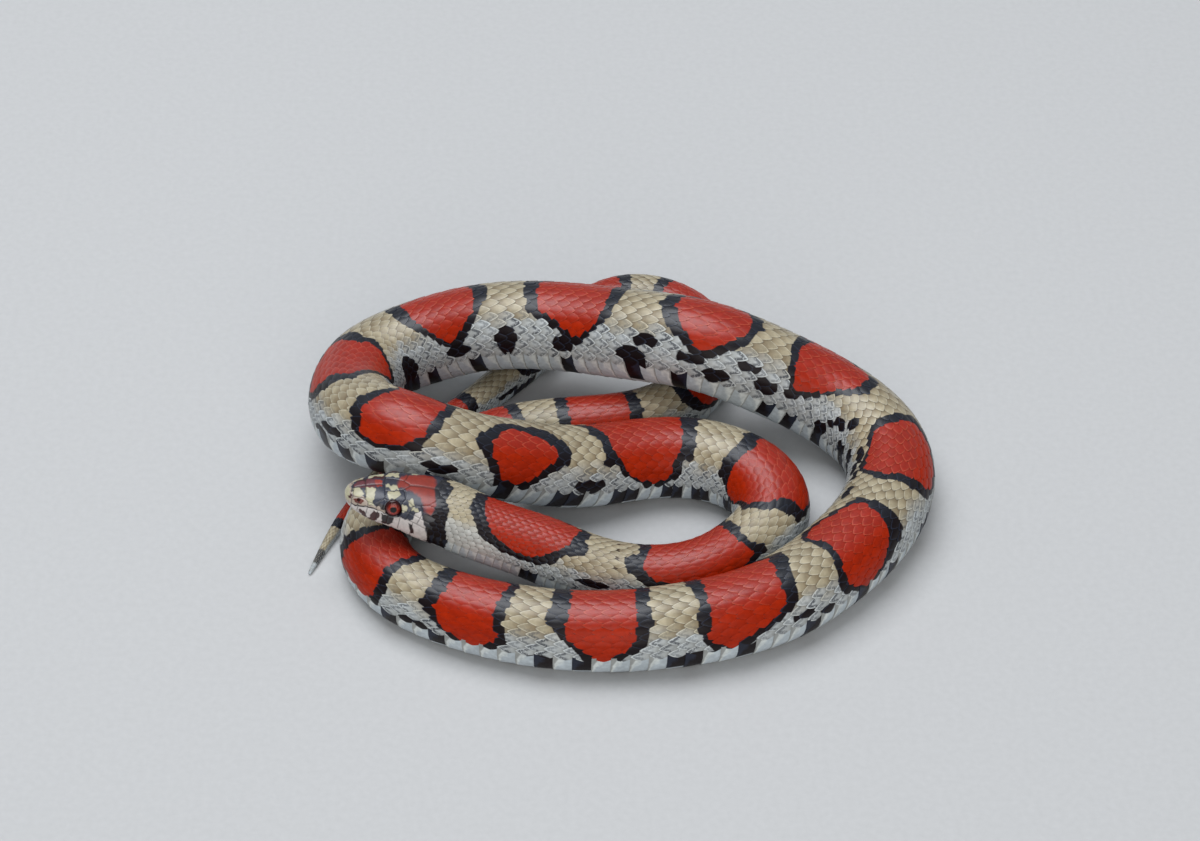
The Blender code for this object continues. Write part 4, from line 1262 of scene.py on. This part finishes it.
belly_list, tail_list = [], []
span = 180 + 2 * BELLY_EDGE
for s, step, _ in plan:
    if s < VENT:
        belly_list.append((s, step, -90.0, span / 2 + 3))
    else:
        for number, turn in enumerate((-90 - span / 4, -90 + span / 4)):
            tail_list.append((s + 0.5 * step * number, step, turn, span / 4 + 3))
coat.append(lay_plates("belly_plates", np.array(belly_list), 60))
coat.append(lay_plates("tail_plates", np.array(tail_list), 61))
print("belly plates:", len(belly_list), "tail plates:", len(tail_list))

# %% [markdown]
# ## The eyes
# A snake has no lids: a clear scale covers the eye, so it always shines. We make a flattened ball
# like the solid one, finer, with a round black pupil, a bright ring round it and a red iris that
# darkens to its edge. Towards its top the iris turns pale pink, a painted reflection of the sky.

# %% Eyes
PUPIL, IRIS_RING, EYE_SHOWN = 0.51, 0.64, 1.37


def eye_material():
    material, tree, shader = horn_finish("wet_eye", 0.14, 0.18, 0.04)
    shader.inputs["Specular IOR Level"].default_value = 0.32
    tone = add_node(tree, "ShaderNodeAttribute", {"attribute_name": "Tone"}).outputs["Color"]
    place = add_node(tree, "ShaderNodeTexCoord").outputs["Object"]
    streak = add_node(tree, "ShaderNodeTexNoise", Vector=place, Scale=5200.0, Detail=3.0)
    darker = blend_colours(tree, 0.65, (0, 0, 0, 1), tone)
    colour = blend_colours(tree, ramp(tree, streak.outputs["Fac"], 0.35, 0.65), darker, tone)
    tree.links.new(colour, shader.inputs["Base Color"])
    return material


wet_eye = eye_material()


def make_eye(side, word):
    middle, along, over, out = eye_frame(side)
    bm = bmesh.new()
    bmesh.ops.create_uvsphere(bm, u_segments=72, v_segments=48, radius=1)
    co = np.array([v.co[:] for v in bm.verts])
    reach = np.hypot(co[:, 0], co[:, 1]) * EYE_SHOWN
    front = co[:, 2] > 0
    height = np.clip(co[:, 1] * 1.15, -1, 1)
    # painted reflection of the sky: the iris turns pale pink towards its top
    iris = mix(np.broadcast_to(linear(142, 34, 17), (len(co), 3)), linear(150, 72, 74),
               smooth_step(height, -0.1, 0.6))
    tone = mix(iris, np.broadcast_to(linear(52, 14, 14), iris.shape), smooth_step(reach, 0.74, 1.16))
    ring = bump(reach - IRIS_RING, 0.07)
    tone = mix(tone, np.broadcast_to(linear(198, 70, 36), tone.shape), 0.5 * ring)
    tone = mix(np.broadcast_to(linear(8, 6, 8), tone.shape), tone,
               smooth_step(reach, PUPIL - 0.04, PUPIL + 0.04))
    tone = np.where(front[:, None], tone, linear(20, 10, 10))
    for vert, place in zip(bm.verts, co):
        spot = (middle + along * place[0] * EYE_SHOWN + over * place[1] * EYE_SHOWN
                + out * place[2] * EYE_DEEP)
        vert.co = Vector(spot) * MM
    turned = np.dot(np.cross(along, over), out) < 0
    if turned:
        bmesh.ops.reverse_faces(bm, faces=bm.faces)
    eye = new_piece("eye_%s_clear_scale" % word, bm, wet_eye)
    store_colour(eye.data, "Tone", tone)
    eye.data.shade_smooth()
    return eye


eyes = {word: make_eye(side, word) for side, word in ((1, "left"), (-1, "right"))}
print("eyes:", len(eyes))

# %% [markdown]
# ## Fasten everything to the frame
# The snake is still, so every piece rides on the one body. The skin stands for all the solids of
# flesh, and each eye for its own.

# %% Ride and replace
for piece in [skin, *coat]:
    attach(piece, "root")
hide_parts(*body_nodes)
for word, eye in eyes.items():
    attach(eye, "root")
    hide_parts("eye_" + word)
